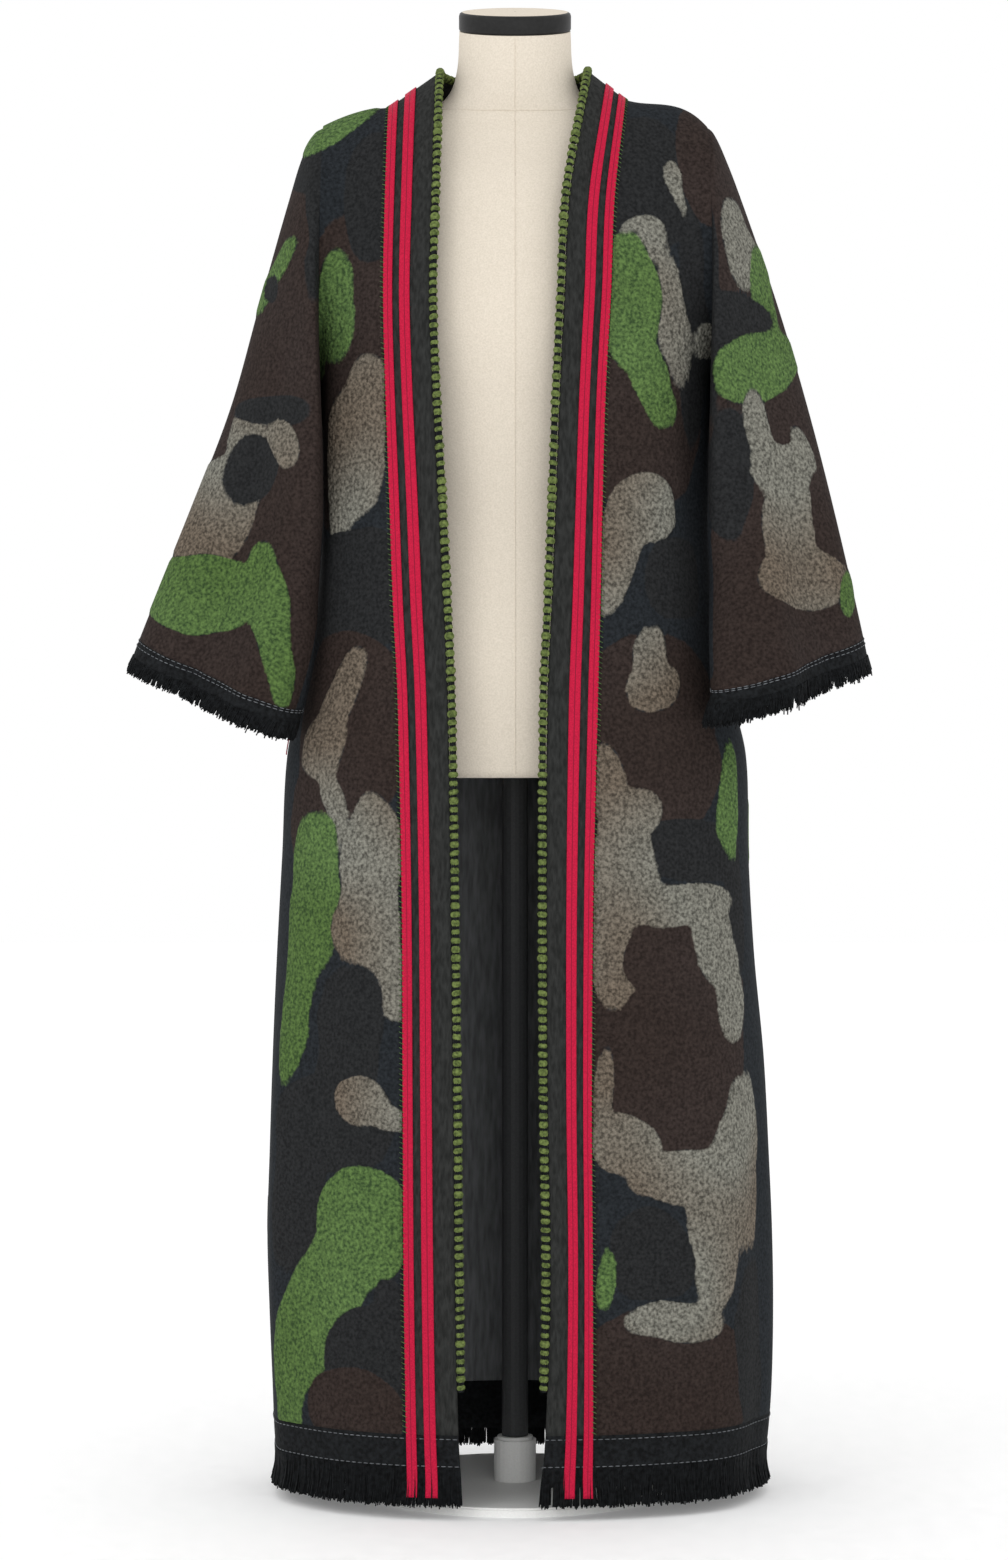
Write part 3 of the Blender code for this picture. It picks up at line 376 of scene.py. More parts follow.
def along(rows: Sequence, at: Array, column: str) -> Array:
    """Read a table's column as a smooth curve.

    Args:
        rows: The table, sorted by its first column.
        at: Places in the first column.
        column: Name of the column to read.

    Returns:
        A value for each place.
    """
    keys = np.array([row[0] for row in rows], dtype=float)
    values = np.array([getattr(row, column) for row in rows])
    index = np.arange(len(keys))
    low = np.maximum(index - 1, 0)
    high = np.minimum(index + 1, len(keys) - 1)
    slopes = (values[high] - values[low]) / (keys[high] - keys[low])
    at = np.clip(at, keys[0], keys[-1])
    i = np.clip(np.searchsorted(keys, at, side="right") - 1, 0, len(keys) - 2)
    span = keys[i + 1] - keys[i]
    s = (at - keys[i]) / span
    start = (2 * s**3 - 3 * s**2 + 1) * values[i] + (s**3 - 2 * s**2 + s) * span * slopes[i]
    end = (3 * s**2 - 2 * s**3) * values[i + 1] + (s**3 - s**2) * span * slopes[i + 1]
    return start + end


def eased(share: Array) -> Array:
    """Ease from 0 to 1 between shares 0 and 1."""
    share = np.clip(share, 0.0, 1.0)
    return share * share * (3.0 - 2.0 * share)


def unit(vectors: Array) -> Array:
    """Scale vectors to length 1."""
    return vectors / np.maximum(np.linalg.norm(vectors, axis=-1, keepdims=True), SMALLEST)


def run_of(path: Array) -> Array:
    """Measure the length of a path up to each of its points."""
    return np.concatenate(((0.0,), np.cumsum(np.linalg.norm(np.diff(path, axis=0), axis=1))))


def drift(x: Array, y: Array, size: float, seed: float) -> Array:
    """Make smooth uneven values.

    Args:
        x: First coordinate of the places.
        y: Second coordinate of the places.
        size: Size of the lumps, in the same unit.
        seed: Number that gives another set of values.

    Returns:
        A value from -1 to 1 for each place.
    """

    def corner(i: Array, k: Array) -> Array:
        """Make uneven values at the corners of a grid."""
        value = np.sin(i * SCATTER_X + k * SCATTER_Y + seed * SCATTER_SEED) * SCATTER_SPREAD
        return 2.0 * (value - np.floor(value)) - 1.0

    i, k = np.floor(x / size), np.floor(y / size)
    u, v = eased(x / size - i), eased(y / size - k)
    low = corner(i, k) * (1 - u) + corner(i + 1, k) * u
    high = corner(i, k + 1) * (1 - u) + corner(i + 1, k + 1) * u
    return low * (1 - v) + high * v


# Form of the hanging coat


@dataclass(frozen=True)
class CoatShape:
    """The coat's surfaces, as they hang on the form."""

    cloth_wall: float = 0.0025
    fringe_end: float = 0.012
    fringe_top: float = 0.047
    hem: float = 0.077
    underarm: float = 1.057
    tip: float = 1.299
    neck_start: float = 1.147
    flare_out: float = 0.006
    armhole_depth: float = 0.070
    armhole_power: float = 3.0
    section_power: float = 2.3
    shoulder_power: float = 2.2
    seam_rise: tuple[float, float] = (0.018, 0.0255)
    edge_rise: float = 0.055
    shoulder_round: tuple[float, float] = (0.20, 0.38)
    shoulder_skew: tuple[float, float] = (1.0, 2.0)
    back_neck_depth: float = 0.088
    back_neck_fall: float = 0.002
    back_edge_depth: float = 0.066
    band_cloth: float = 0.86
    fold_end: float = 1.5
    fold_seam: float = 6.0
    armhole_length: float = 0.12
    head_lift: float = 0.0025
    head_start: float = 0.06
    head_end: float = 0.22
    head_quick: float = 0.85

    def half_width(self, side: Side, z: Array) -> Array:
        """Measure from the middle to the side seam or armhole."""
        return along(BODY, z, side.label)

    def armhole_y(self, z: Array) -> Array:
        """Measure the half depth of the armhole.

        Args:
            z: Heights.

        Returns:
            Half depth at each height.
        """
        middle = 0.5 * (self.underarm + self.tip)
        reach = 0.5 * (self.tip - self.underarm)
        return self.armhole_depth * np.sqrt(np.maximum(0.0, 1.0 - ((z - middle) / reach) ** 2))

    def from_armhole(self, z: Array, depth: Array, rise: Array) -> Array:
        """Blend a body row from the armhole's edge to its full depth.

        Args:
            z: Heights.
            depth: Full depth of the row.
            rise: Share of the full depth, 0 at the armhole.

        Returns:
            Depth at each place.
        """
        power = self.armhole_power
        edge = self.armhole_y(z) * (1.0 - rise**power)
        return ((depth * rise) ** power + edge**power) ** (1.0 / power)

    def over_shoulder(self, z: Array) -> Array:
        """Share of the body's depth that is left at a height above the underarm."""
        share = np.clip((z - self.underarm) / (self.tip - self.underarm), 0.0, 1.0)
        return (1.0 - share**self.shoulder_power) ** (1.0 / self.shoulder_power)

    def heights(self, pitch: float, arm_rows: int) -> Array:
        """Space out heights from the hem stitch line to the shoulder tip.

        Args:
            pitch: Distance of two rows below the underarm.
            arm_rows: Rows along the armhole, which are closer at both of its ends.

        Returns:
            The heights.
        """
        skirt = np.arange(self.hem, self.underarm - 0.5 * pitch, pitch)
        turn = np.linspace(0.0, math.pi, arm_rows)
        arm = 0.5 * (self.underarm + self.tip) - 0.5 * (self.tip - self.underarm) * np.cos(turn)
        return np.concatenate((skirt, arm))

    def bow(self, share: Array) -> Array:
        """Share of a body section's depth at a share of its half width."""
        share = np.minimum(np.abs(share), 1.0)
        return (1.0 - share**self.section_power) ** (1.0 / self.section_power)

    def neck_blend(self, z: Array) -> Array:
        """Share by which a row of the body has turned up towards the neck."""
        return (np.maximum(0.0, z - self.neck_start) / (self.tip - self.neck_start)) ** 2

    def shoulder_rise(self, is_left: Array | bool, inward: Array) -> Array:
        """Curve of the shoulder line.

        Args:
            is_left: Whether a place is on the left side.
            inward: Share of the way in from the armhole to the neck.

        Returns:
            Share of the rise from the armhole to the neck.
        """
        round_up = np.where(is_left, *self.shoulder_round)
        skew = np.where(is_left, *self.shoulder_skew)
        peak = skew**skew / (1.0 + skew) ** (1.0 + skew)
        return inward + round_up * inward * np.maximum(1.0 - inward, 0.0) ** skew / peak

    def flare(self, z: Array) -> Array:
        """Measure the outward spread of the frayed hem below its stitch line."""
        share = np.maximum(0.0, self.fringe_top - z) / (self.fringe_top - self.fringe_end)
        return self.flare_out * share**2

    def fold_height(self, piece: str, share: Array, z: Array) -> Array:
        """Add up the folds on a panel, which fade out at its seams.

        Args:
            piece: The panel's row in FOLDS.
            share: Shares across the panel.
            z: Heights.

        Returns:
            Height of the folds at each place.
        """
        total = np.zeros(np.broadcast(share, z).shape)
        for fold in FOLDS[piece]:
            across = np.exp(-(((share - fold.centre) / fold.width) ** 2))
            middle, reach = 0.5 * (fold.foot + fold.top), 0.5 * (fold.top - fold.foot)
            total += fold.height * across * eased(self.fold_end * (1.0 - np.abs(z - middle) / reach))
        return total * eased(self.fold_seam * share) * eased(self.fold_seam * (1.0 - share))

    def pushed(self, x: Array, y: Array, z: Array, half: Array, depth: Array, height: Array) -> Array:
        """Move points of the body straight out from it, level.

        Args:
            x: Places across.
            y: Places in depth.
            z: Heights.
            half: Half widths of the body.
            depth: Depths of the body.
            height: How far each point moves.

        Returns:
            The moved points.
        """
        out = unit(np.stack(np.broadcast_arrays(x / half**2, y / depth**2, 0.0 * z), -1))
        return np.stack(np.broadcast_arrays(x, y, z), -1) + out * np.asarray(height)[..., None]

    def band_line(self, side: Side, z: Array, line: BandLine) -> Array:
        """Lay out a band's seam or free edge.

        Args:
            side: The coat's side.
            z: Heights on the body, before the rise to the neck.
            line: Which of the band's two lines.

        Returns:
            Points of the line.
        """
        half = self.half_width(side, z)
        x = along(BANDS, z, f"{line.value}_{side.label}")
        rise = self.seam_rise[side > 0] if line is BandLine.SEAM else self.edge_rise
        y = -along(BODY, z, "front") * self.over_shoulder(z) * self.bow(x / half)
        return np.stack((x, y, z + rise * self.neck_blend(z)), -1)

    def front(self, side: Side, share: Array, z: Array) -> Array:
        """Lay out a front.

        Args:
            side: The coat's side.
            share: Shares across, 0 at the side seam and 1 at the band seam.
            z: Heights on the body, before the rise to the neck.

        Returns:
            Outer points.
        """
        share, z = np.broadcast_arrays(np.asarray(share, float), np.asarray(z, float))
        power = self.section_power
        half = self.half_width(side, z)
        seam = self.band_line(side, z, BandLine.SEAM)
        full = np.arccos((np.abs(seam[..., 0]) / half) ** (power / 2.0))
        turn = share * full
        x = side * half * np.cos(turn) ** (2.0 / power)
        rise = (np.sin(turn) / np.sin(full)) ** (2.0 / power)
        y = -self.from_armhole(z, -seam[..., 1], rise)
        inward = (half - np.abs(x)) / (half - np.abs(seam[..., 0]))
        height = z + (seam[..., 2] - z) * self.shoulder_rise(side is LEFT, inward)
        lift = self.fold_height(f"front_{side.label}", share, z)
        return self.pushed(x, y, height, half, along(BODY, z, "front"), lift + self.flare(z))

    def hem_line(self, side: Side, share: Array, z: Array) -> Array:
        """Lay out the hem below a front and its band.

        Args:
            side: The coat's side.
            share: 0 at the side seam, 1 at the band seam and 2 at the band's edge.
            z: Heights.

        Returns:
            Outer points.
        """
        share, z = np.broadcast_arrays(np.asarray(share, float), np.asarray(z, float))
        panel = self.front(side, np.minimum(share, 1.0), z)
        seam, edge = self.band_line(side, z, BandLine.SEAM), self.band_line(side, z, BandLine.EDGE)
        point = seam + (edge - seam) * (self.band_cloth * (share - 1.0))[..., None]
        half = self.half_width(side, z)
        under = self.pushed(*np.moveaxis(point, -1, 0), half, along(BODY, z, "front"), self.flare(z))
        return np.where((share > 1.0)[..., None], under, panel)

    def back(self, turn: Array, z: Array) -> Array:
        """Lay out the back.

        Args:
            turn: Turning angles, 0 at the left side seam and pi at the right one.
            z: Heights on the body, before the rise to the neck.

        Returns:
            Outer points.
        """
        turn, z = np.broadcast_arrays(np.asarray(turn, float), np.asarray(z, float))
        is_left = turn <= 0.5 * math.pi
        folded = np.where(is_left, turn, math.pi - turn)
        across = np.maximum(np.cos(folded), 0.0) ** (2.0 / self.section_power)
        half = np.where(is_left, *[self.half_width(side, z) for side in Side])
        tip = np.array(self.tip)
        tip_half = np.where(is_left, *[self.half_width(side, tip) for side in Side])
        seam_x = np.where(is_left, *[abs(self.band_line(side, tip, BandLine.SEAM)[0]) for side in Side])
        rise = np.sin(folded) ** (2.0 / self.section_power)
        neck = np.sqrt(np.maximum(0.0, 1.0 - (tip_half * across / seam_x) ** 2))
        inward = np.minimum(1.0, tip_half * (1.0 - across) / (tip_half - seam_x))
        at_seam = np.where(is_left, *self.seam_rise)
        top = at_seam * self.shoulder_rise(is_left, inward) * (1.0 - neck) - self.back_neck_fall * neck
        low = along(BODY, z, "back")
        neck_y = self.back_neck_depth * neck
        deep = neck_y + (low - neck_y) * self.over_shoulder(z)
        y = self.from_armhole(z, deep, rise)
        lift = self.fold_height("back", turn / math.pi, z) * self.over_shoulder(z) + self.flare(z)
        x = np.where(is_left, -1, 1) * half * across
        return self.pushed(x, y, z + top * self.neck_blend(z), half, low, lift)

    def sleeve_ring(self, side: Side, length: Array) -> tuple[Array, Array, Array]:
        """Lay out the rings of a sleeve.

        Args:
            side: The coat's side.
            length: Shares of the length, 0 at the armhole, 1 at the stitch line and more below it.

        Returns:
            Outer points, inner points and reaches forwards.
        """
        rows = SLEEVES[side]
        last = len(rows) - 2
        share = np.maximum(length - 1.0, 0.0)
        ring = {}
        for name in Ring._fields[1:]:
            end = getattr(rows[-1], name) - getattr(rows[-2], name)
            ring[name] = along(rows[:-1], np.minimum(length, 1.0) * last, name) + end * share
        outer = np.stack((ring["outer_x"], ring["outer_y"], ring["outer_z"]), -1)
        inner = np.stack((ring["inner_x"], ring["inner_y"], ring["inner_z"]), -1)
        ahead = np.radians(ring["turned"])
        forward = np.stack((side * np.sin(ahead), -np.cos(ahead), 0.0 * ahead), -1)
        reach = unit(outer - inner)
        forward = unit(forward - reach * np.sum(forward * reach, -1, keepdims=True))
        return outer, inner, forward * ring["depth"][..., None]

    def sleeve(self, side: Side, turn: Array, length: Array) -> Array:
        """Lay out a sleeve.

        Args:
            side: The coat's side.
            turn: Angles round it, 0 on its outer edge and a quarter turn on its front.
            length: Shares of its length, as for its rings.

        Returns:
            Outer points.
        """
        turn, length = np.broadcast_arrays(np.asarray(turn, float), np.asarray(length, float))
        outer, inner, forward = self.sleeve_ring(side, length)
        centre, reach = 0.5 * (outer + inner), 0.5 * (outer - inner)
        point = centre + reach * np.cos(turn)[..., None] + forward * np.sin(turn)[..., None]
        hole = point.copy()
        hole[..., 0] = side * self.half_width(side, point[..., 2])
        over = np.maximum(np.cos(turn), 0.0) ** 2
        leave = self.armhole_length * (1.0 - self.head_quick * over)
        point = hole + (point - hole) * eased(length / leave)[..., None]
        fall = eased((length - self.head_start) / (self.head_end - self.head_start))
        point[..., 2] += self.head_lift * over * eased(length / self.head_start) * (1.0 - fall)
        lift = np.zeros(turn.shape)
        degrees = np.degrees(turn) % 360.0
        for crease in CREASES[side]:
            apart = np.abs((degrees - crease.angle + 180.0) % 360.0 - 180.0)
            grown = eased((length - crease.start) / (1.0 - crease.start))
            lift += crease.height * np.exp(-((apart / crease.width) ** 2)) * grown
        return point + unit(point - centre) * lift[..., None]


# Meshes from arrays


@dataclass
class Sheet:
    """A grid of points on a surface, rows x columns, with outward normals."""

    points: Array
    normals: Array
    closed: bool
    turned: bool

    @classmethod
    def on(cls, points: Array, inside: Array, closed: bool = False) -> "Sheet":
        """Make a sheet on a grid of points.

        Args:
            points: The grid.
            inside: Points that the sheet faces away from.
            closed: Whether the last column joins the first.

        Returns:
            The sheet with its normals.
        """
        if closed:
            across = np.roll(points, -1, axis=1) - np.roll(points, 1, axis=1)
        else:
            across = np.gradient(points, axis=1)
        normals = unit(np.cross(across, np.gradient(points, axis=0)))
        turned = bool(np.sum(normals * (points - inside)) < 0.0)
        return cls(points, -normals if turned else normals, closed, turned)

    def moved_out(self, distance: float) -> "Sheet":
        """Copy the sheet a distance outwards."""
        return Sheet(self.points + self.normals * distance, self.normals, self.closed, self.turned)

    def quads(self) -> Array:
        """List the faces of one layer.

        Returns:
            Corner numbers, four a face, facing along the normals.
        """
        rows, columns = self.points.shape[:2]
        r = np.arange(rows - 1)[:, None]
        c = np.arange(columns if self.closed else columns - 1)[None, :]
        a, b = r * columns + c, r * columns + (c + 1) % columns
        faces = np.stack((a, b, b + columns, a + columns), -1).reshape(-1, 4)
        return faces[:, ::-1] if self.turned else faces

    def rims(self) -> Array:
        """List the faces between the borders of the outer and the inner layer.

        Returns:
            Corner numbers, four a face.
        """
        rows, columns = self.points.shape[:2]
        count = rows * columns
        numbers = np.arange(count).reshape(rows, columns)
        wrap = numbers[:, :1] if self.closed else numbers[:, :0]
        bottom = np.concatenate((numbers[0], wrap[0]))
        top = np.concatenate((numbers[-1], wrap[-1]))[::-1]
        borders = [bottom, top]
        if not self.closed:
            borders += [numbers[:, -1], numbers[::-1, 0]]
        faces = [np.stack((b[1:], b[:-1], b[:-1] + count, b[1:] + count), -1) for b in borders]
        faces = np.concatenate(faces)
        return faces[:, ::-1] if self.turned else faces


def level_axis(shape: CoatShape, points: Array) -> Array:
    """Find points inside the coat, from which its panels face away.

    Args:
        shape: The coat.
        points: Points of a panel.

    Returns:
        The middle at each point's height, lower under the shoulders so that they face up.
    """
    inside = points * (0.0, 0.0, 1.0)
    up = eased((points[..., 2] - shape.underarm) / (shape.tip - shape.underarm))
    inside[..., 2] -= SHOULDER_LOOK_UP * up
    return inside


def mesh_piece(
    name: str, points: Array, faces: Array, finishes: Sequence[Finish], face_finish: Array | None = None
) -> Piece:
    """Make a smooth-shaded piece that rides on the part's body.

    Args:
        name: The piece's name.
        points: Its points.
        faces: Corner numbers, as many for each face.
        finishes: Its materials.
        face_finish: For each face, the number of its material.

    Returns:
        The new piece.
    """
    mesh = bpy.data.meshes.new(name)
    sides = faces.shape[1]
    mesh.vertices.add(len(points))
    mesh.vertices.foreach_set("co", np.ascontiguousarray(points, np.float32).ravel())
    mesh.loops.add(faces.size)
    mesh.loops.foreach_set("vertex_index", np.ascontiguousarray(faces, np.int32).ravel())
    mesh.polygons.add(len(faces))
    mesh.polygons.foreach_set("loop_start", np.arange(len(faces), dtype=np.int32) * sides)
    mesh.polygons.foreach_set("use_smooth", np.ones(len(faces), bool))
    if face_finish is not None:
        mesh.polygons.foreach_set("material_index", face_finish.astype(np.int32))
    for finish in finishes:
        mesh.materials.append(finish)
    mesh.update(calc_edges=True)
    mesh.validate()
    piece = bpy.data.objects.new(name, mesh)
    bpy.context.scene.collection.objects.link(piece)
    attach(piece, "root")
    LOG.info("%s: %d faces", name, len(faces))
    return piece


def shell_piece(
    name: str,
    sheet: Sheet,
    lift: Array | float,
    wall: float,
    finishes: Sequence[Finish],
    fields: dict[str, Array] | None = None,
) -> Piece:
    """Make a cloth wall with an outer and an inner layer.

    Args:
        name: The piece's name.
        sheet: The outer layer before it is raised.
        lift: How far the outer layer is raised.
        wall: Thickness below the sheet.
        finishes: One material, or one for the outside and one for the inside.
        fields: Named values for each point of the sheet.

    Returns:
        The new piece.
    """
    count = sheet.points.shape[0] * sheet.points.shape[1]
    lift = np.broadcast_to(lift, sheet.points.shape[:2])
    outer = sheet.points + sheet.normals * lift[..., None]
    inner = sheet.points - sheet.normals * wall
    points = np.concatenate((outer.reshape(-1, 3), inner.reshape(-1, 3)))
    quads = sheet.quads()
    faces = np.concatenate((quads, sheet.rims(), quads[:, ::-1] + count))
    inside = np.arange(len(faces)) >= len(faces) - len(quads)
    piece = mesh_piece(name, points, faces, finishes, inside if len(finishes) > 1 else None)
    for label, values in (fields or {}).items():
        layer = piece.data.attributes.new(label, "FLOAT", "POINT")
        layer.data.foreach_set("value", np.concatenate((values.ravel(),) * 2).astype(np.float32))
    return piece


def scattered(points: Array, faces: Array, places: Array, frames: Array) -> tuple[Array, Array]:
    """Copy a small shape to many places.

    Args:
        points: Points of the shape.
        faces: Corner numbers of its faces.
        places: Where the copies stand.
        frames: For each copy, its three axes as columns.

    Returns:
        Points and corner numbers of all copies.
    """
    copies = np.einsum("nij,pj->npi", frames, points) + places[:, None, :]
    steps = np.arange(len(places))[:, None, None] * len(points)
    return copies.reshape(-1, 3), (faces[None] + steps).reshape(-1, faces.shape[1])


def rounded_bead(sides: int, rings: int) -> tuple[Array, Array]:
    """Make a ball of radius 1 with its axis along X.

    Args:
        sides: Faces round the axis.
        rings: Faces along the axis.

    Returns:
        Points and corner numbers.
    """
    lat = np.linspace(0.0, math.pi, rings + 1)
    lon = np.arange(sides) / sides * 2.0 * math.pi
    x = np.repeat(-np.cos(lat), sides)
    r = np.repeat(np.sin(lat), sides)
    points = np.stack((x, r * np.tile(np.cos(lon), rings + 1), r * np.tile(np.sin(lon), rings + 1)), -1)
    a = (np.arange(rings)[:, None] * sides + np.arange(sides)[None, :]).ravel()
    b = (np.arange(rings)[:, None] * sides + (np.arange(sides)[None, :] + 1) % sides).ravel()
    return points, np.stack((a, a + sides, b + sides, b), -1)


def tubes(paths: Array, radii: Array, sides: int) -> tuple[Array, Array]:
    """Make open thin tubes along many paths at once.

    Args:
        paths: Paths x places x 3.
        radii: A radius for each place.
        sides: Faces round a tube.

    Returns:
        Points and corner numbers.
    """
    count, places = paths.shape[:2]
    tangent = unit(np.gradient(paths, axis=1))
    helper = np.where(np.abs(tangent[..., 2:]) < STEEP, (0.0, 0.0, 1.0), (1.0, 0.0, 0.0))
    first = unit(np.cross(tangent, helper))
    second = np.cross(tangent, first)
    angle = np.arange(sides) / sides * 2.0 * math.pi
    ring = first[:, :, None] * np.cos(angle)[:, None] + second[:, :, None] * np.sin(angle)[:, None]
    points = paths[:, :, None] + ring * radii[..., None, None]
    start = np.arange(count * places).reshape(count, places)[:, :-1, None] * sides
    a, b = start + np.arange(sides), start + (np.arange(sides) + 1) % sides
    faces = np.stack((a, b, b + sides, a + sides), -1).reshape(-1, 4)
    return points.reshape(-1, 3), faces


def evenly(path: Array, beside: Array, pitch: float) -> tuple[Array, Array, Array]:
    """Mark places at an even pitch along a path.

    Args:
        path: Points of the path.
        beside: A direction that goes with each point.
        pitch: Distance between two places.

    Returns:
        The places, the path's directions there and the directions that go with them.
    """
    run = run_of(path)
    marks = np.arange(0.5 * pitch, run[-1], pitch)

    def at(values: Array, where: Array) -> Array:
        """Read values that go with the path."""
        return np.stack([np.interp(where, run, values[:, i]) for i in range(3)], -1)

    places = at(path, marks)
    ahead = unit(at(path, marks + LOOK_AHEAD * pitch) - places + NO_MOVE)
    return places, ahead, at(beside, marks)


# Finishes


def linear(colour: str) -> Colour:
    """Turn an sRGB hex value to a linear colour."""
    values = [int(colour[i : i + 2], 16) / 255.0 for i in (1, 3, 5)]
    return (*[v / 12.92 if v <= 0.04045 else ((v + 0.055) / 1.055) ** 2.4 for v in values], 1.0)


def node(
    tree: bpy.types.NodeTree, kind: str, inputs: dict | None = None, **settings: object
) -> bpy.types.Node:
    """Add a shader node.

    Args:
        tree: The material's nodes.
        kind: The node's type.
        inputs: For each input, a value to set or a socket to link.
        settings: The node's own settings.

    Returns:
        The new node.
    """
    made = tree.nodes.new(kind)
    for key, value in settings.items():
        setattr(made, key, value)
    for key, value in (inputs or {}).items():
        if isinstance(value, bpy.types.NodeSocket):
            tree.links.new(value, made.inputs[key])
        else:
            made.inputs[key].default_value = value
    return made


@dataclass(frozen=True)
class Surface:
    """A named surface with two shades in small uneven grains, and a fine relief."""

    name: str
    dark: str
    light: str
    roughness: float
    grain_mm: float
    relief_mm: float = 0.0
    stretch: tuple[float, float, float] = (1.0, 1.0, 1.0)
    shine: float = 0.12
    contrast: tuple[float, float] = (0.32, 0.68)

    def grains(self, tree: bpy.types.NodeTree, place: Socket) -> Socket:
        """Add uneven values with grains of the surface's size.

        Args:
            tree: The material's nodes.
            place: Coordinates on the piece.

        Returns:
            Values from 0 to 1.
        """
        drawn = {0: place, 1: self.stretch}
        drawn = node(tree, "ShaderNodeVectorMath", drawn, operation="MULTIPLY").outputs[0]
        noise = {"Vector": drawn, "Scale": MM / self.grain_mm, "Detail": 2.0}
        noise = node(tree, "ShaderNodeTexNoise", noise).outputs["Fac"]
        steep = {"Value": noise, "From Min": self.contrast[0], "From Max": self.contrast[1]}
        return node(tree, "ShaderNodeMapRange", steep).outputs["Result"]

    def dress(self, tree: bpy.types.NodeTree, place: Socket) -> tuple[Socket, Socket]:
        """Add the surface's colour and height.

        Args:
            tree: The material's nodes.
            place: Coordinates on the piece.

        Returns:
            Colour and height.
        """
        grains = self.grains(tree, place)
        shades = {FACTOR: grains, FIRST: linear(self.dark), SECOND: linear(self.light)}
        return node(tree, "ShaderNodeMix", shades, data_type="RGBA").outputs[MIXED], grains

    def build(self) -> Finish:
        """Make the material.

        Returns:
            The finished material.
        """
        material = bpy.data.materials.new(self.name)
        material.use_nodes = True
        tree = material.node_tree
        shader = tree.nodes["Principled BSDF"]
        shader.inputs["Roughness"].default_value = self.roughness
        shader.inputs["Specular IOR Level"].default_value = self.shine
        colour, height = self.dress(tree, node(tree, "ShaderNodeTexCoord").outputs["Object"])
        tree.links.new(colour, shader.inputs["Base Color"])
        if self.relief_mm:
            bump = node(tree, "ShaderNodeBump", {"Height": height, "Distance": self.relief_mm / MM})
            tree.links.new(bump.outputs["Normal"], shader.inputs["Normal"])
        return material


@dataclass(frozen=True)
class RibbonSurface(Surface):
    """Woven ribbon with a darker line along its middle."""

    line: str = "#84102e"
    line_half: float = 0.05
    line_core: float = 0.6

    def dress(self, tree: bpy.types.NodeTree, place: Socket) -> tuple[Socket, Socket]:
        """Add the ribbon's colour with its line, and its height.

        Args:
            tree: The material's nodes.
            place: Coordinates on the piece.

        Returns:
            Colour and height.
        """
        colour, grains = super().dress(tree, place)
        across = node(tree, "ShaderNodeAttribute", attribute_name="across").outputs["Fac"]
        apart = node(tree, "ShaderNodeMath", {0: across, 1: 0.5}, operation="SUBTRACT").outputs[0]
        apart = node(tree, "ShaderNodeMath", {0: apart}, operation="ABSOLUTE").outputs[0]
        edge = {"Value": apart, "From Min": self.line_half, "From Max": self.line_core * self.line_half}
        inline = node(tree, "ShaderNodeMapRange", edge).outputs["Result"]
        lined = {FACTOR: inline, FIRST: colour, SECOND: linear(self.line)}
        return node(tree, "ShaderNodeMix", lined, data_type="RGBA").outputs[MIXED], grains


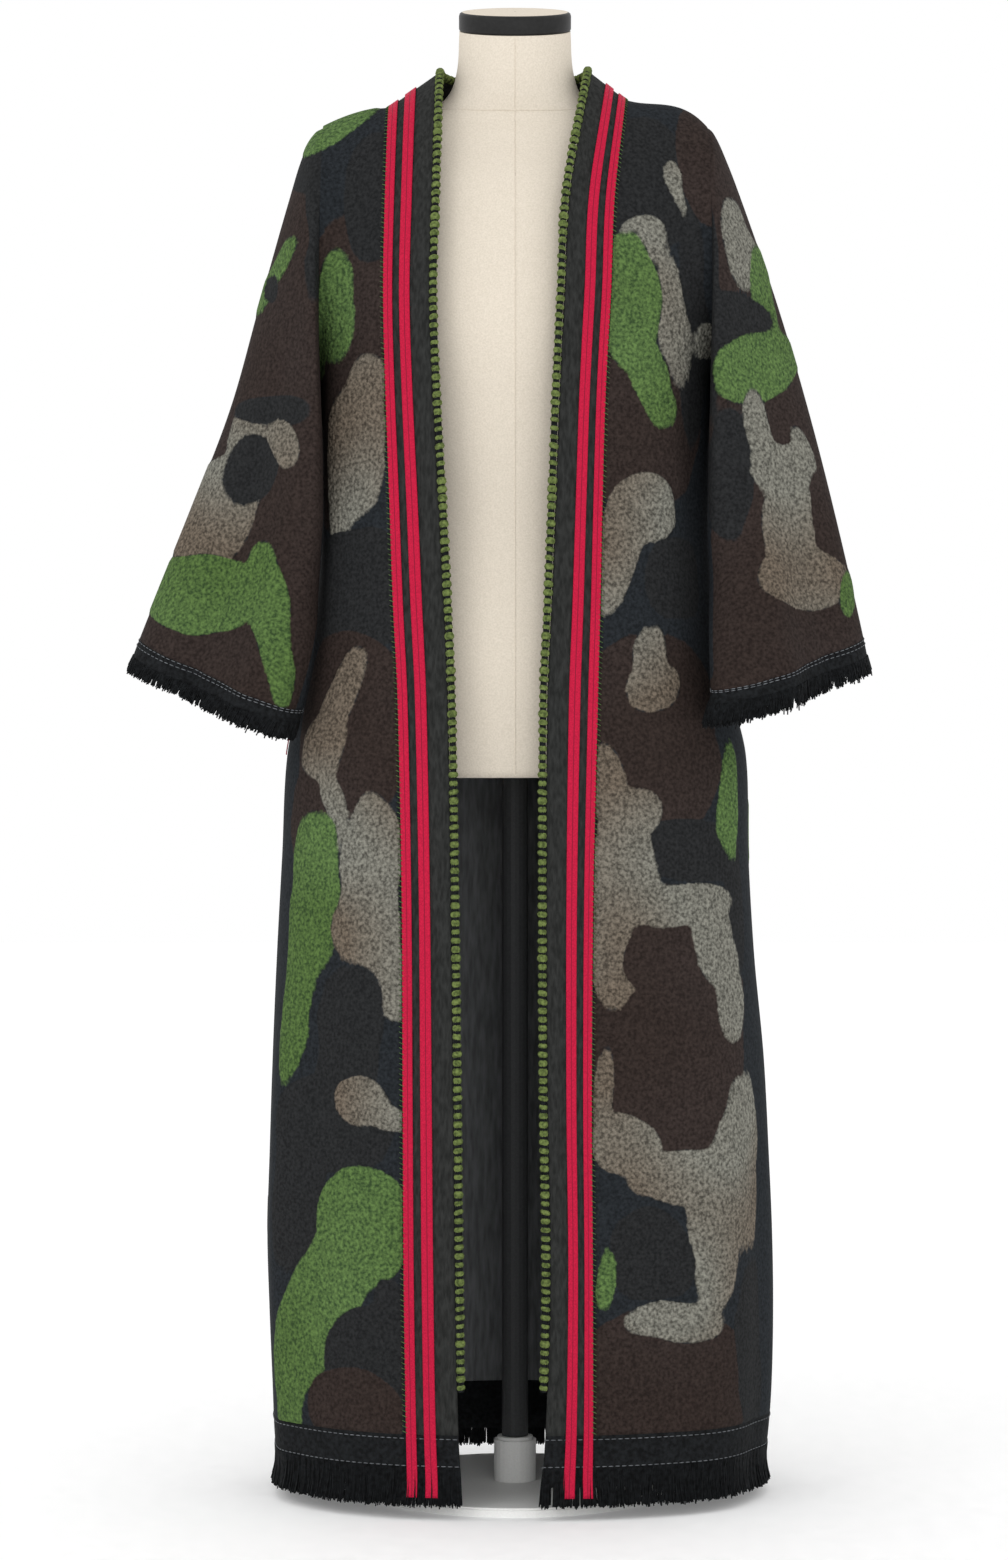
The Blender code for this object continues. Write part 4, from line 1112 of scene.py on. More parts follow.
@dataclass(frozen=True)
class CamouflageKnit(Surface):
    """Jacquard knit: smooth dark ground with raised looped patches, ragged where yarns meet."""

    # For each yarn its dark and light shade, and a tint that it takes on in broad areas
    shades: tuple[tuple[Yarn, str, str, str], ...] = (
        (Yarn.BROWN, "#241d1b", "#3a312e", "#f2eeea"),
        (Yarn.BLACK, "#191a1b", "#2a2b2c", "#ffffff"),
        (Yarn.GREEN, "#354a2c", "#637f48", "#e9ebe0"),
        (Yarn.TAUPE, "#4b4a44", "#8b8a80", "#dcc9bf"),
    )
    broad_mm: float = 130.0
    broad_contrast: tuple[float, float] = (0.35, 0.65)
    ragged_mm: float = 3.4
    ragged_grain_mm: float = 5.5
    soft_mm: float = 0.7
    loop_mm: float = 4.2

    def dress(self, tree: bpy.types.NodeTree, place: Socket) -> tuple[Socket, Socket]:
        """Add the yarns' colours, and the loops of the raised ones.

        Args:
            tree: The material's nodes.
            place: Coordinates on the piece.

        Returns:
            Colour and height.
        """
        colour, grains = super().dress(tree, place)
        rough = {"Vector": place, "Scale": MM / self.ragged_grain_mm, "Detail": 2.0}
        noise = node(tree, "ShaderNodeTexNoise", rough).outputs["Fac"]
        shift = {0: noise, 1: self.ragged_mm / MM, 2: -0.5 * self.ragged_mm / MM}
        shift = node(tree, "ShaderNodeMath", shift, operation="MULTIPLY_ADD").outputs[0]
        wide = {"Vector": place, "Scale": MM / self.broad_mm, "Detail": 0.0}
        wide = node(tree, "ShaderNodeTexNoise", wide).outputs["Fac"]
        wide = {"Value": wide, "From Min": self.broad_contrast[0], "From Max": self.broad_contrast[1]}
        wide = node(tree, "ShaderNodeMapRange", wide).outputs["Result"]
        raised = 0.0
        for yarn, dark, light, tint in self.shades:
            field = node(tree, "ShaderNodeAttribute", attribute_name=yarn.value).outputs["Fac"]
            field = node(tree, "ShaderNodeMath", {0: field, 1: shift}).outputs[0]
            edge = {"Value": field, "From Min": -self.soft_mm / MM, "From Max": self.soft_mm / MM}
            within = node(tree, "ShaderNodeMapRange", edge).outputs["Result"]
            tone = {FACTOR: grains, FIRST: linear(dark), SECOND: linear(light)}
            tone = node(tree, "ShaderNodeMix", tone, data_type="RGBA").outputs[MIXED]
            tone = {FACTOR: wide, FIRST: tone, SECOND: linear(tint)}
            tone = node(tree, "ShaderNodeMix", tone, data_type="RGBA", blend_type="MULTIPLY").outputs[MIXED]
            over = {FACTOR: within, FIRST: colour, SECOND: tone}
            colour = node(tree, "ShaderNodeMix", over, data_type="RGBA").outputs[MIXED]
            if yarn in LOOPED:
                both = {0: within, 1: raised}
                raised = node(tree, "ShaderNodeMath", both, operation="MAXIMUM").outputs[0]
        loops = {"Vector": place, "Scale": MM / self.loop_mm}
        loops = node(tree, "ShaderNodeTexVoronoi", loops).outputs["Distance"]
        loops = node(tree, "ShaderNodeMath", {0: 1.0, 1: loops}, operation="SUBTRACT").outputs[0]
        return colour, node(tree, "ShaderNodeMath", {0: loops, 1: raised}, operation="MULTIPLY").outputs[0]


@dataclass(frozen=True)
class Finishes:
    """All materials of the coat, its form and its stand."""

    # Wool-mix jacquard knit: dull, mottled yarns, with loops that stand up in the green and taupe areas.
    # Grains and loops are drawn about twice as coarse as the stitches, so that they show
    knit: Finish
    # Reverse of the jacquard: plain floats, drawn out along the wales. Its real charcoal is painted light
    # grey: painted light that lifts the shade inside the coat
    inside: Finish
    # Plain charcoal knit: matt, with fine upright wales
    charcoal: Finish
    # Frayed black wool yarn: soft, deep and without shine
    black: Finish
    # Woven polyester ribbon: a clear red, a little smoother than the knit
    red: Finish
    # Wrapped olive cotton cord: matt twists of two greens
    olive: Finish
    # Spun grey sewing thread: pale dashes on the black ends
    thread: Finish
    # Spun green sewing thread: short slanting stitches
    green: Finish
    # Woven linen cover: warm cream with a faint grain, drawn a little coarser than its threads
    cream: Finish
    # Moulded ABS: dark and satin
    plastic: Finish
    # Black powder coat on steel: fine grit, dull. Painted dark grey, not black: painted light that lifts the
    # pole to the tone of the shaded inside
    pole: Finish
    # White powder coat on steel: fine grit, dull
    stand: Finish

    @classmethod
    def build(cls) -> "Finishes":
        """Make every material.

        Returns:
            The materials by use.
        """
        wales, fine_wales = (1.0, 1.0, 0.15), (1.0, 1.0, 0.3)
        return cls(
            knit=CamouflageKnit("camouflage_knit", "#181b1e", "#282c30", 0.95, 3.0, 1.6).build(),
            # Inside painted light grey rather than charcoal: painted light against the shade inside the coat
            inside=Surface("plain_knit_inside", "#656768", "#808284", 0.95, 4.0, 0.6, wales).build(),
            charcoal=Surface("charcoal_knit", "#212221", "#323332", 0.92, 3.0, 0.6, fine_wales).build(),
            black=Surface("frayed_black_yarn", "#0d0e0f", "#1e2022", 0.9, 4.0, 0.4).build(),
            red=RibbonSurface("woven_red_ribbon", "#ad0f35", "#c7183f", 0.60, 1.5, 0.3).build(),
            olive=Surface("olive_cord", "#434f2a", "#74834a", 0.9, 3.0, 0.4).build(),
            thread=Surface("pale_grey_thread", "#54575a", "#74777b", 0.8, 3.0).build(),
            green=Surface("green_thread", "#33482a", "#566f41", 0.85, 3.0).build(),
            cream=Surface("cream_linen_cover", "#d6ccbc", "#e2d8c9", 0.85, 1.6, 0.1).build(),
            plastic=Surface("moulded_black_plastic", "#262626", "#2b2b2b", 0.45, 4.0).build(),
            # Pole painted dark grey instead of black: painted light that lifts it out of the shade inside
            # the coat
            pole=Surface("black_powder_coat", "#3c3d3e", "#434445", 0.4, 2.0).build(),
            stand=Surface("white_powder_coat", "#ececea", "#f2f2f0", 0.45, 2.0).build(),
        )


@dataclass(frozen=True)
class Camouflage:
    """Lays the camouflage on a piece as signed distances to the edge of each yarn's patches."""

    sway: float = 7.0
    sway_lump: float = 0.070
    ripple: float = 3.0
    ripple_lump: float = 0.026
    lump_axes: tuple[float, float] = (0.8, 0.6)
    corner_power: float = 2.3
    melt: float = 3.0
    far: float = 25.0
    raise_by: float = 0.0012
    raise_over: float = 0.0025
    cell: tuple[float, float] = (96.0, 124.0)
    order: tuple[Yarn, ...] = (Yarn.BROWN, Yarn.GREEN, Yarn.BLACK, Yarn.TAUPE, Yarn.BROWN)
    stray: float = 18.0
    links: int = 3
    link_half: tuple[float, float] = (24.0, 38.0)
    link_tall: tuple[float, float] = (1.0, 1.5)
    link_tilt: tuple[float, float] = (-35.0, 35.0)
    link_bend: float = 0.7
    link_gap: float = 1.3
    link_reach: tuple[float, float] = (0.8, 1.2)

    def fields(self, patches: Iterable[Patch], x: Array, z: Array) -> dict[str, Array]:
        """Measure how far points lie inside each yarn's patches.

        Args:
            patches: The patches, later ones over earlier ones.
            x: Places across the pattern.
            z: Heights.

        Returns:
            For each yarn, distances to the edge of its patches, above 0 inside.
        """
        along_x, along_z = self.lump_axes
        u, v = along_x * x - along_z * z, along_z * x + along_x * z

        def uneven(seed: int) -> Array:
            """Add up the sway and the ripple of the patches, in millimetres."""
            swayed = self.sway * drift(u, v, self.sway_lump, seed)
            return swayed + self.ripple * drift(u, v, self.ripple_lump, seed + 1)

        mm_x, mm_z = MM * x + uneven(1), MM * z + uneven(3)
        result = {yarn: np.full(x.shape, -self.far) for yarn in Yarn}
        for patch in patches:
            turn = math.radians(patch.tilt)
            dx, dz = mm_x - patch.x, mm_z - patch.z
            a = np.abs(dx * math.cos(turn) + dz * math.sin(turn)) / patch.half_width
            b = np.abs(dz * math.cos(turn) - dx * math.sin(turn)) / patch.half_height
            apart = (a**self.corner_power + b**self.corner_power) ** (1.0 / self.corner_power)
            inward = np.maximum((1.0 - apart) * min(patch.half_width, patch.half_height), -self.far)
            for yarn in Yarn:
                if yarn == patch.yarn:
                    result[yarn] = self.melt * np.logaddexp(result[yarn] / self.melt, inward / self.melt)
                else:
                    result[yarn] = np.minimum(result[yarn], -inward)
        return {yarn.value: values / MM for yarn, values in result.items()}

    def hidden(self, seed: int, x_range: Sequence[float], z_range: Sequence[float]) -> list[Patch]:
        """Make up similar patches for a side that isn't seen, a chain in each cell of a loose grid.

        Args:
            seed: Number that gives another layout.
            x_range: Lowest and highest place across, in millimetres.
            z_range: Lowest and highest height, in millimetres.

        Returns:
            The patches, yarn by yarn.
        """
        scatter = np.random.default_rng(seed)
        across = max(1, round((x_range[1] - x_range[0]) / self.cell[0]))
        up = round((z_range[1] - z_range[0]) / self.cell[1])
        reach_x, reach_z = self.link_reach
        chains = {yarn: [] for yarn in Yarn}
        for i in range(across):
            for k in range(up):
                # Steps of two across and three or four up keep like yarns apart
                yarn = self.order[(2 * i + 3 * k + k // 2) % len(self.order)]
                cell_x, cell_z = (i + 0.5) * self.cell[0], (k + 0.5) * self.cell[1]
                place = np.array((x_range[0] + cell_x, z_range[0] + cell_z))
                place += scatter.uniform(-self.stray, self.stray, 2)
                heading = scatter.uniform(0.0, 2.0 * math.pi)
                for _ in range(self.links):
                    wide = scatter.uniform(*self.link_half)
                    size = (wide, wide * scatter.uniform(*self.link_tall), scatter.uniform(*self.link_tilt))
                    chains[yarn].append(Patch(yarn, *place, *size))
                    heading += scatter.normal(0.0, self.link_bend)
                    step = np.array((reach_x * math.cos(heading), reach_z * math.sin(heading)))
                    place = place + wide * self.link_gap * step
        return [patch for yarn in Yarn for patch in chains[yarn]]

    def lift(self, fields: dict[str, Array]) -> Array:
        """Measure how far the raised loops stand above the ground."""
        inward = np.maximum(*[fields[yarn.value] for yarn in LOOPED])
        return self.raise_by * eased(0.5 + inward / self.raise_over)


# Cut, frayed yarns and stitches


@dataclass(frozen=True)
class FrayedYarns:
    """Loose yarns at a cut end, drawn a little thicker than real ones so that they show."""

    loose: float
    level: float = 1.0
    radii: tuple[float, float] = (0.0009, 0.0007)
    spread: tuple[float, float] = (0.2, 1.0)
    sides: int = 3
    places: int = 5

    def steps(self) -> Array:
        """List the shares of a yarn's length at its places."""
        return np.linspace(0.0, 1.0, self.places)

    def piece(self, name: str, paths: Array, scatter: np.random.Generator, finish: Finish) -> Piece:
        """Make the yarns, spread out and thinner towards their ends.

        Args:
            name: The piece's name.
            paths: Yarns x places x 3, before they spread.
            scatter: Source of random numbers.
            finish: The yarn's material.

        Returns:
            The new piece.
        """
        away = scatter.normal(0.0, self.loose, (len(paths), 1, 3)) * (1.0, 1.0, self.level)
        paths = paths + away * np.linspace(*self.spread, self.places)[:, None]
        radii = np.broadcast_to(np.linspace(*self.radii, self.places), paths.shape[:2])
        points, faces = tubes(paths, radii, self.sides)
        return mesh_piece(name, points, faces, (finish,))


@dataclass(frozen=True)
class Stitch:
    """A sewn stitch that repeats along a row."""

    pitch: float
    half_size: tuple[float, float, float]
    lift: float
    turn: float = 0.0
    sides: int = 5
    rings: int = 4

    def piece(self, name: str, rows: Sequence[tuple[Array, Array]], finish: Finish) -> Piece:
        """Make rows of stitches.

        Args:
            name: The piece's name.
            rows: For each row, points on the cloth and the cloth's outward directions there.
            finish: The thread's material.

        Returns:
            The new piece.
        """
        bead, quads = rounded_bead(self.sides, self.rings)
        long, wide, tall = self.half_size
        places, frames = [], []
        for path, out in rows:
            spots, ahead, normal = evenly(path + out * self.lift, out, self.pitch)
            normal = unit(normal)
            ahead = unit(ahead - normal * np.sum(ahead * normal, -1, keepdims=True))
            aside = np.cross(normal, ahead)
            lay = ahead * math.cos(self.turn) + aside * math.sin(self.turn)
            places.append(spots)
            frames.append(np.stack((lay * long, np.cross(normal, lay) * wide, normal * tall), -1))
        points, faces = scattered(bead, quads, np.concatenate(places), np.concatenate(frames))
        return mesh_piece(name, points, faces, (finish,))


TOPSTITCH = Stitch(pitch=0.0062, half_size=(0.0024, 0.0005, 0.0005), lift=0.0004)
WHIP_STITCH = Stitch(pitch=0.0048, half_size=(0.0030, 0.0005, 0.0005), lift=0.0014, turn=math.radians(65.0))


# Coat


@dataclass
class Panels:
    """The back and both fronts, in camouflage knit with a plain inside."""

    shape: CoatShape
    pattern: Camouflage
    front_pitch: float = 0.0030
    back_pitch: float = 0.0050
    front_columns: int = 60
    back_columns: int = 120
    arm_rows: int = 80
    back_seed: int = 7
    back_range: tuple[float, float] = (-336.0, 336.0)
    height_range: tuple[float, float] = (70.0, 1310.0)
    side_from: float = 0.07
    side_share: float = 0.8
    side_ease: float = 0.15
    tape_share: tuple[float, float] = (0.0, 0.028)
    tape_heights: tuple[float, float] = (0.700, 0.860)
    tape_columns: int = 4
    tape_rows: int = 60
    tape_lift: float = 0.0016
    tape_wall: float = 0.0008

    def build(self, finishes: Finishes) -> None:
        """Make the three panels and the tape.

        Args:
            finishes: The materials.
        """
        for side in Side:
            name = f"front_{side.label}"
            z = self.shape.heights(self.front_pitch, self.arm_rows)[:, None]
            points = self.shape.front(side, np.linspace(0.0, 1.0, self.front_columns), z)
            self.panel(name, points, self.round_side(side, points), PATCHES[name], finishes)
        z = self.shape.heights(self.back_pitch, self.arm_rows)[:, None]
        points = self.shape.back(np.linspace(0.0, math.pi, self.back_columns), z)
        run = np.cumsum(np.linalg.norm(np.diff(points[..., :2], axis=1), axis=-1), axis=1)
        around = np.concatenate((0.0 * run[:, :1], run), axis=1) - 0.5 * run[:, -1:]
        hidden = self.pattern.hidden(self.back_seed, self.back_range, self.height_range)
        self.panel("back", points, around, hidden, finishes)
        self.seam_tape(finishes.red)

    def round_side(self, side: Side, points: Array) -> Array:
        """Lay a front's pattern on round the side, below the underarm.

        Args:
            side: The coat's side.
            points: Points of the front.

        Returns:
            Places across the pattern.
        """
        low = eased((self.shape.underarm - points[..., 2]) / self.side_ease)
        behind = np.maximum(0.0, points[..., 1] + self.side_from)
        return points[..., 0] + side * self.side_share * low * behind

    def panel(
        self, name: str, points: Array, across: Array, patches: Iterable[Patch], finishes: Finishes
    ) -> None:
        """Make one panel, and hide the frame's own one.

        Args:
            name: The panel's name in the frame.
            points: Its outer points.
            across: Places across its pattern.
            patches: Its patches.
            finishes: The materials.
        """
        sheet = Sheet.on(points, level_axis(self.shape, points))
        fields = self.pattern.fields(patches, across, points[..., 2])
        lift = self.pattern.lift(fields)
        both = (finishes.knit, finishes.inside)
        piece = shell_piece(f"{name}_knit", sheet, lift, self.shape.cloth_wall, both, fields)
        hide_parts(name)

    def seam_tape(self, red: Finish) -> None:
        """Make the narrow red tape on the left side seam, below the sleeve.

        Args:
            red: The tape's material.
        """
        share = np.linspace(*self.tape_share, self.tape_columns)
        points = self.shape.front(LEFT, share, np.linspace(*self.tape_heights, self.tape_rows)[:, None])
        raised = Sheet.on(points, level_axis(self.shape, points)).moved_out(self.tape_lift)
        fields = {"across": np.zeros(points.shape[:2])}
        piece = shell_piece("side_seam_tape", raised, 0.0, self.tape_wall, (red,), fields)


@dataclass
class Sleeves:
    """Wide flared sleeves with black cuff strips, topstitching and frayed ends."""

    shape: CoatShape
    pattern: Camouflage
    rows: int = 150
    columns: int = 140
    knit_end: float = 0.988
    seam_flat: float = 0.06
    front_steep: float = 2.0
    rear_seed: int = 20
    rear_across: tuple[float, float] = (180.0, 380.0)
    rear_heights: tuple[float, float] = (740.0, 1300.0)
    strip_end: float = 1.66
    strip_rows: int = 9
    fringe: tuple[float, float] = (1.30, 1.88)
    fringe_uneven: float = 0.055
    fringe_stray: float = 0.02
    fringe_seed: int = 31
    strands: int = 1900
    yarns: FrayedYarns = FrayedYarns(loose=0.0008)
    stitch_rows: tuple[float, ...] = (0.9895, 0.9950)
    stitch_reach: float = 0.004

    def build(self, finishes: Finishes) -> None:
        """Make both sleeves with their ends.

        Args:
            finishes: The materials.
        """
        turns = np.arange(self.columns) / self.columns * 2.0 * math.pi
        for side in Side:
            self.knit(side, turns, finishes)
            self.strip(side, turns, finishes.black)
            self.frayed(side, finishes.black)
            self.topstitch(side, turns, finishes.thread)

    def sheet(self, side: Side, turns: Array, length: Array) -> Sheet:
        """Lay out a ring-shaped part of a sleeve, facing out.

        Args:
            side: The coat's side.
            turns: Angles round the sleeve.
            length: Shares of its length.

        Returns:
            The sheet.
        """
        points = self.shape.sleeve(side, turns, length)
        outer, inner, _ = self.shape.sleeve_ring(side, length)
        return Sheet.on(points, 0.5 * (outer + inner), closed=True)

    def knit(self, side: Side, turns: Array, finishes: Finishes) -> None:
        """Make a sleeve's camouflage tube, with a made-up pattern on its rear.

        Args:
            side: The coat's side.
            turns: Angles round the sleeve.
            finishes: The materials.
        """
        name = f"sleeve_{side.label}"
        length = np.linspace(0.0, self.knit_end, self.rows)[:, None]
        sheet = self.sheet(side, turns, length)
        x, z = sheet.points[..., 0], sheet.points[..., 2]
        front = self.pattern.fields(PATCHES[name], x, z)
        x_range = sorted(side * reach for reach in self.rear_across)
        hidden = self.pattern.hidden(self.rear_seed + side, x_range, self.rear_heights)
        rear = self.pattern.fields(hidden, x, z)
        ahead = eased(0.5 + self.front_steep * np.sin(turns))[None, :]
        fields = {key: front[key] * ahead + rear[key] * (1.0 - ahead) for key in front}
        lift = self.pattern.lift(fields) * eased(length / self.seam_flat)
        both = (finishes.knit, finishes.inside)
        piece = shell_piece(f"{name}_knit", sheet, lift, self.shape.cloth_wall, both, fields)
        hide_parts(name)

    def strip(self, side: Side, turns: Array, black: Finish) -> None:
        """Make a cuff strip.

        Args:
            side: The coat's side.
            turns: Angles round the sleeve.
            black: The strip's material.
        """
        above = (self.knit_end, 0.5 + 0.5 * self.knit_end)
        length = np.concatenate((above, np.linspace(1.0, self.strip_end, self.strip_rows)))
        sheet = self.sheet(side, turns, length[:, None])
        piece = shell_piece(f"cuff_{side.label}_strip", sheet, 0.0, self.shape.cloth_wall, (black,))
        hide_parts(f"cuff_strip_{side.label}")

    def frayed(self, side: Side, black: Finish) -> None:
        """Make the loose yarns below a cuff strip.

        Args:
            side: The coat's side.
            black: The yarn's material.
        """
        scatter = np.random.default_rng(self.fringe_seed + side)
        steps = self.yarns.steps()
        turn = scatter.uniform(0.0, 2.0 * math.pi, self.strands)[:, None]
        ends = self.fringe[1] + scatter.normal(0.0, self.fringe_uneven, self.strands)
        length = self.fringe[0] + (ends[:, None] - self.fringe[0]) * steps
        stray = scatter.normal(0.0, self.fringe_stray, (self.strands, 1)) * steps
        paths = self.shape.sleeve(side, turn + stray, length)
        piece = self.yarns.piece(f"cuff_{side.label}_frayed", paths, scatter, black)
        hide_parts(f"cuff_fringe_{side.label}")

    def topstitch(self, side: Side, turns: Array, thread: Finish) -> None:
        """Make rows of pale stitches round a cuff.

        Args:
            side: The coat's side.
            turns: Angles round the sleeve.
            thread: The thread's material.
        """
        rows = []
        for length in self.stitch_rows:
            about = np.array((length - self.stitch_reach, length, length + self.stitch_reach))
            sheet = self.sheet(side, turns, about[:, None])
            rows.append([np.concatenate((grid[1], grid[1, :1])) for grid in (sheet.points, sheet.normals)])
        TOPSTITCH.piece(f"cuff_{side.label}_topstitch", rows, thread)


@dataclass
class FrontBands:
    """Charcoal bands with two ribbons each, whip stitches and a knotted edging."""

    shape: CoatShape
    pitch: float = 0.004
    arm_rows: int = 70
    neck_rows: int = 40
    columns: int = 24
    # For each ribbon its name and its two edges, as shares of the band's width
    ribbons: tuple[tuple[str, float, float], ...] = (("outer", 0.015, 0.18), ("inner", 0.31, 0.50))
    ribbon_columns: int = 9
    ribbon_wall: float = 0.0010
    ribbon_lift: float = 0.0016
    ribbon_end: float = 0.020
    edging_end: float = 0.115
    edging_radius: float = 0.0038
    edging_seed: int = 11
    core_share: float = 0.78
    core_sides: int = 8
    knot_faces: tuple[int, int] = (8, 5)
    knot_pitch: float = 0.0080
    knot_half: tuple[float, float] = (0.0030, 0.0048)
    knot_swell: tuple[float, float] = (1.05, 1.30)
    knot_lean: tuple[float, float] = (0.25, 0.15)
    knot_flat: float = 0.95

    def lines(self, side: Side) -> tuple[Array, Array]:
        """Lay out a band from the hem round to the centre back of the neck.

        Args:
            side: The coat's side.

        Returns:
            Points of its seam and of its free edge.
        """
        shape = self.shape
        z = shape.heights(self.pitch, self.arm_rows)
        seam, edge = shape.band_line(side, z, BandLine.SEAM), shape.band_line(side, z, BandLine.EDGE)
        share = np.cos(np.linspace(0.0, 0.5 * math.pi, self.neck_rows)[1:])
        share = np.maximum(share, 0.0)
        tip = np.array(shape.tip)
        reach = abs(seam[-1, 0]) / shape.half_width(side, tip)
        folded = np.arccos((share * reach) ** (shape.section_power / 2.0))
        neck_seam = shape.back(folded if side is LEFT else math.pi - folded, tip)
        deep = shape.back_edge_depth * np.sqrt(1.0 - share**2)
        neck_edge = np.stack((edge[-1, 0] * share, deep, np.full(share.shape, edge[-1, 2])), -1)
        return np.concatenate((seam, neck_seam)), np.concatenate((edge, neck_edge))

    def build(self, finishes: Finishes) -> None:
        """Make both bands with their trim.

        Args:
            finishes: The materials.
        """
        for side in Side:
            seam, edge = self.lines(side)
            shares = np.linspace(0.0, self.shape.band_cloth, self.columns)
            points = seam[:, None] + (edge - seam)[:, None] * shares[:, None]
            sheet = Sheet.on(points, level_axis(self.shape, points))
            wall = self.shape.cloth_wall
            piece = shell_piece(f"band_{side.label}_knit", sheet, 0.0, wall, (finishes.charcoal,))
            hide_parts(f"band_{side.label}")
            for kind, low, high in self.ribbons:
                self.ribbon(side, kind, (low, high), finishes.red)
            self.edging(side, finishes)
            row = (points[:, 0], sheet.normals[:, 0])
            WHIP_STITCH.piece(f"band_{side.label}_whip", [row], finishes.green)

    def ribbon(self, side: Side, kind: str, shares: tuple[float, float], red: Finish) -> None:
        """Make a ribbon that lies on a band and runs on down over the hem.

        Args:
            side: The coat's side.
            kind: The ribbon's name.
            shares: Its two edges, as shares of the band's width.
            red: Its material.
        """
        seam, edge = self.lines(side)
        across = np.linspace(0.0, 1.0, self.ribbon_columns)
        share = shares[0] + (shares[1] - shares[0]) * across
        on_band = seam[:, None] + (edge - seam)[:, None] * share[:, None]
        z = np.arange(self.ribbon_end, self.shape.hem - 0.5 * self.pitch, self.pitch)[:, None]
        below = self.shape.hem_line(side, 1.0 + share / self.shape.band_cloth, z)
        points = np.concatenate((below, on_band))
        sheet = Sheet.on(points, level_axis(self.shape, points)).moved_out(self.ribbon_lift)
        name = f"ribbon_{side.label}_{kind}"
        fields = {"across": np.broadcast_to(across, points.shape[:2])}
        piece = shell_piece(f"{name}_woven", sheet, 0.0, self.ribbon_wall, (red,), fields)
        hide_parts(name)

    def edging(self, side: Side, finishes: Finishes) -> None:
        """Make the black cord along a band's free edge, wrapped with olive knots.

        Args:
            side: The coat's side.
            finishes: The materials.
        """
        seam, edge = self.lines(side)
        out = unit(edge - seam)
        width = np.linalg.norm(edge - seam, axis=1, keepdims=True)
        radius = self.edging_radius
        path = seam + out * (width * self.shape.band_cloth + radius)
        kept = edge[:, 2] > self.edging_end
        path, aside = path[kept], out[kept]
        radii = np.full((1, len(path)), self.core_share * radius)
        core, core_faces = tubes(path[None], radii, self.core_sides)
        places, ahead, aside = evenly(path, aside, self.knot_pitch)
        aside = unit(aside - ahead * np.sum(aside * ahead, -1, keepdims=True))
        up = np.cross(ahead, aside)
        bead, quads = rounded_bead(*self.knot_faces)
        scatter = np.random.default_rng(self.edging_seed)
        one_each = (len(places), 1)
        swell = radius * scatter.uniform(*self.knot_swell, one_each)
        lean = unit(aside + ahead * scatter.normal(*self.knot_lean, one_each))
        half = scatter.uniform(*self.knot_half, one_each)
        frames = np.stack((lean * swell, np.cross(up, lean) * half, up * self.knot_flat * swell), -1)
        points, faces = scattered(bead, quads, places, frames)
        dark = np.arange(len(core_faces) + len(faces)) < len(core_faces)
        points, faces = np.concatenate((core, points)), np.concatenate((core_faces, faces + len(core)))
        both = (finishes.olive, finishes.black)
        piece = mesh_piece(f"edging_{side.label}_cord", points, faces, both, dark)
        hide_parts(f"edging_{side.label}")


@dataclass
class Hems:
    """Black hem strips, pale topstitching and frayed yarns below the fronts and the back."""

    shape: CoatShape
    columns: int = 90
    strip_foot: float = 0.030
    strip_gap: float = 0.002
    strip_rows: int = 10
    stitch_rows: tuple[int, ...] = (2, 9)
    strand_pitch: float = 0.00028
    strand_ends: tuple[float, float] = (0.002, 0.0014)
    strand_limits: tuple[float, float] = (-0.001, 0.006)
    strand_stray: float = 0.010
    yarns: FrayedYarns = FrayedYarns(loose=0.0009, level=0.3)

    def build(self, finishes: Finishes) -> None:
        """Make the hem below each front and the back.

        Args:
            finishes: The materials.
        """
        for side in Side:
            self.hem(side.label, 2.0, partial(self.shape.hem_line, side), finishes)
        self.hem("back", math.pi, self.shape.back, finishes)

    def hem(self, label: str, end: float, surface: Layout, finishes: Finishes) -> None:
        """Make one strip with its stitches and its frayed yarns.

        Args:
            label: Name of the part of the hem.
            end: Share at its far end.
            surface: Gives outer points for shares and heights.
            finishes: The materials.
        """
        shape = self.shape
        share = np.linspace(0.0, end, self.columns)
        upper = np.linspace(shape.fringe_top - self.strip_gap, shape.hem, self.strip_rows)
        points = surface(share, np.concatenate(((self.strip_foot,), upper))[:, None])
        sheet = Sheet.on(points, level_axis(shape, points))
        piece = shell_piece(f"hem_{label}_strip", sheet, 0.0, shape.cloth_wall, (finishes.black,))
        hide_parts(f"hem_strip_{label}")
        rows = [(points[i], sheet.normals[i]) for i in self.stitch_rows]
        TOPSTITCH.piece(f"hem_{label}_topstitch", rows, finishes.thread)
        self.frayed(label, share, run_of(points[0]), surface, finishes.black)

    def frayed(self, label: str, share: Array, run: Array, surface: Layout, black: Finish) -> None:
        """Make the loose yarns below a strip, evenly along its foot.

        Args:
            label: Name of the part of the hem.
            share: Shares along the strip.
            run: Length along the strip's foot at each share.
            surface: Gives outer points for shares and heights.
            black: The yarn's material.
        """
        shape = self.shape
        count = int(run[-1] / self.strand_pitch)
        scatter = np.random.default_rng(len(label))
        places = np.interp(scatter.uniform(0.0, run[-1], count), run, share)[:, None]
        ends = shape.fringe_end + scatter.normal(*self.strand_ends, count).clip(*self.strand_limits)
        steps = self.yarns.steps()
        height = shape.fringe_top + (ends[:, None] - shape.fringe_top) * steps
        stray = scatter.normal(0.0, self.strand_stray, (count, 1)) * steps
        paths = surface(np.clip(places + stray, 0.0, share[-1]), height)
        piece = self.yarns.piece(f"hem_{label}_frayed", paths, scatter, black)
        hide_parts(f"fringe_{label}")


# Dress form and studio


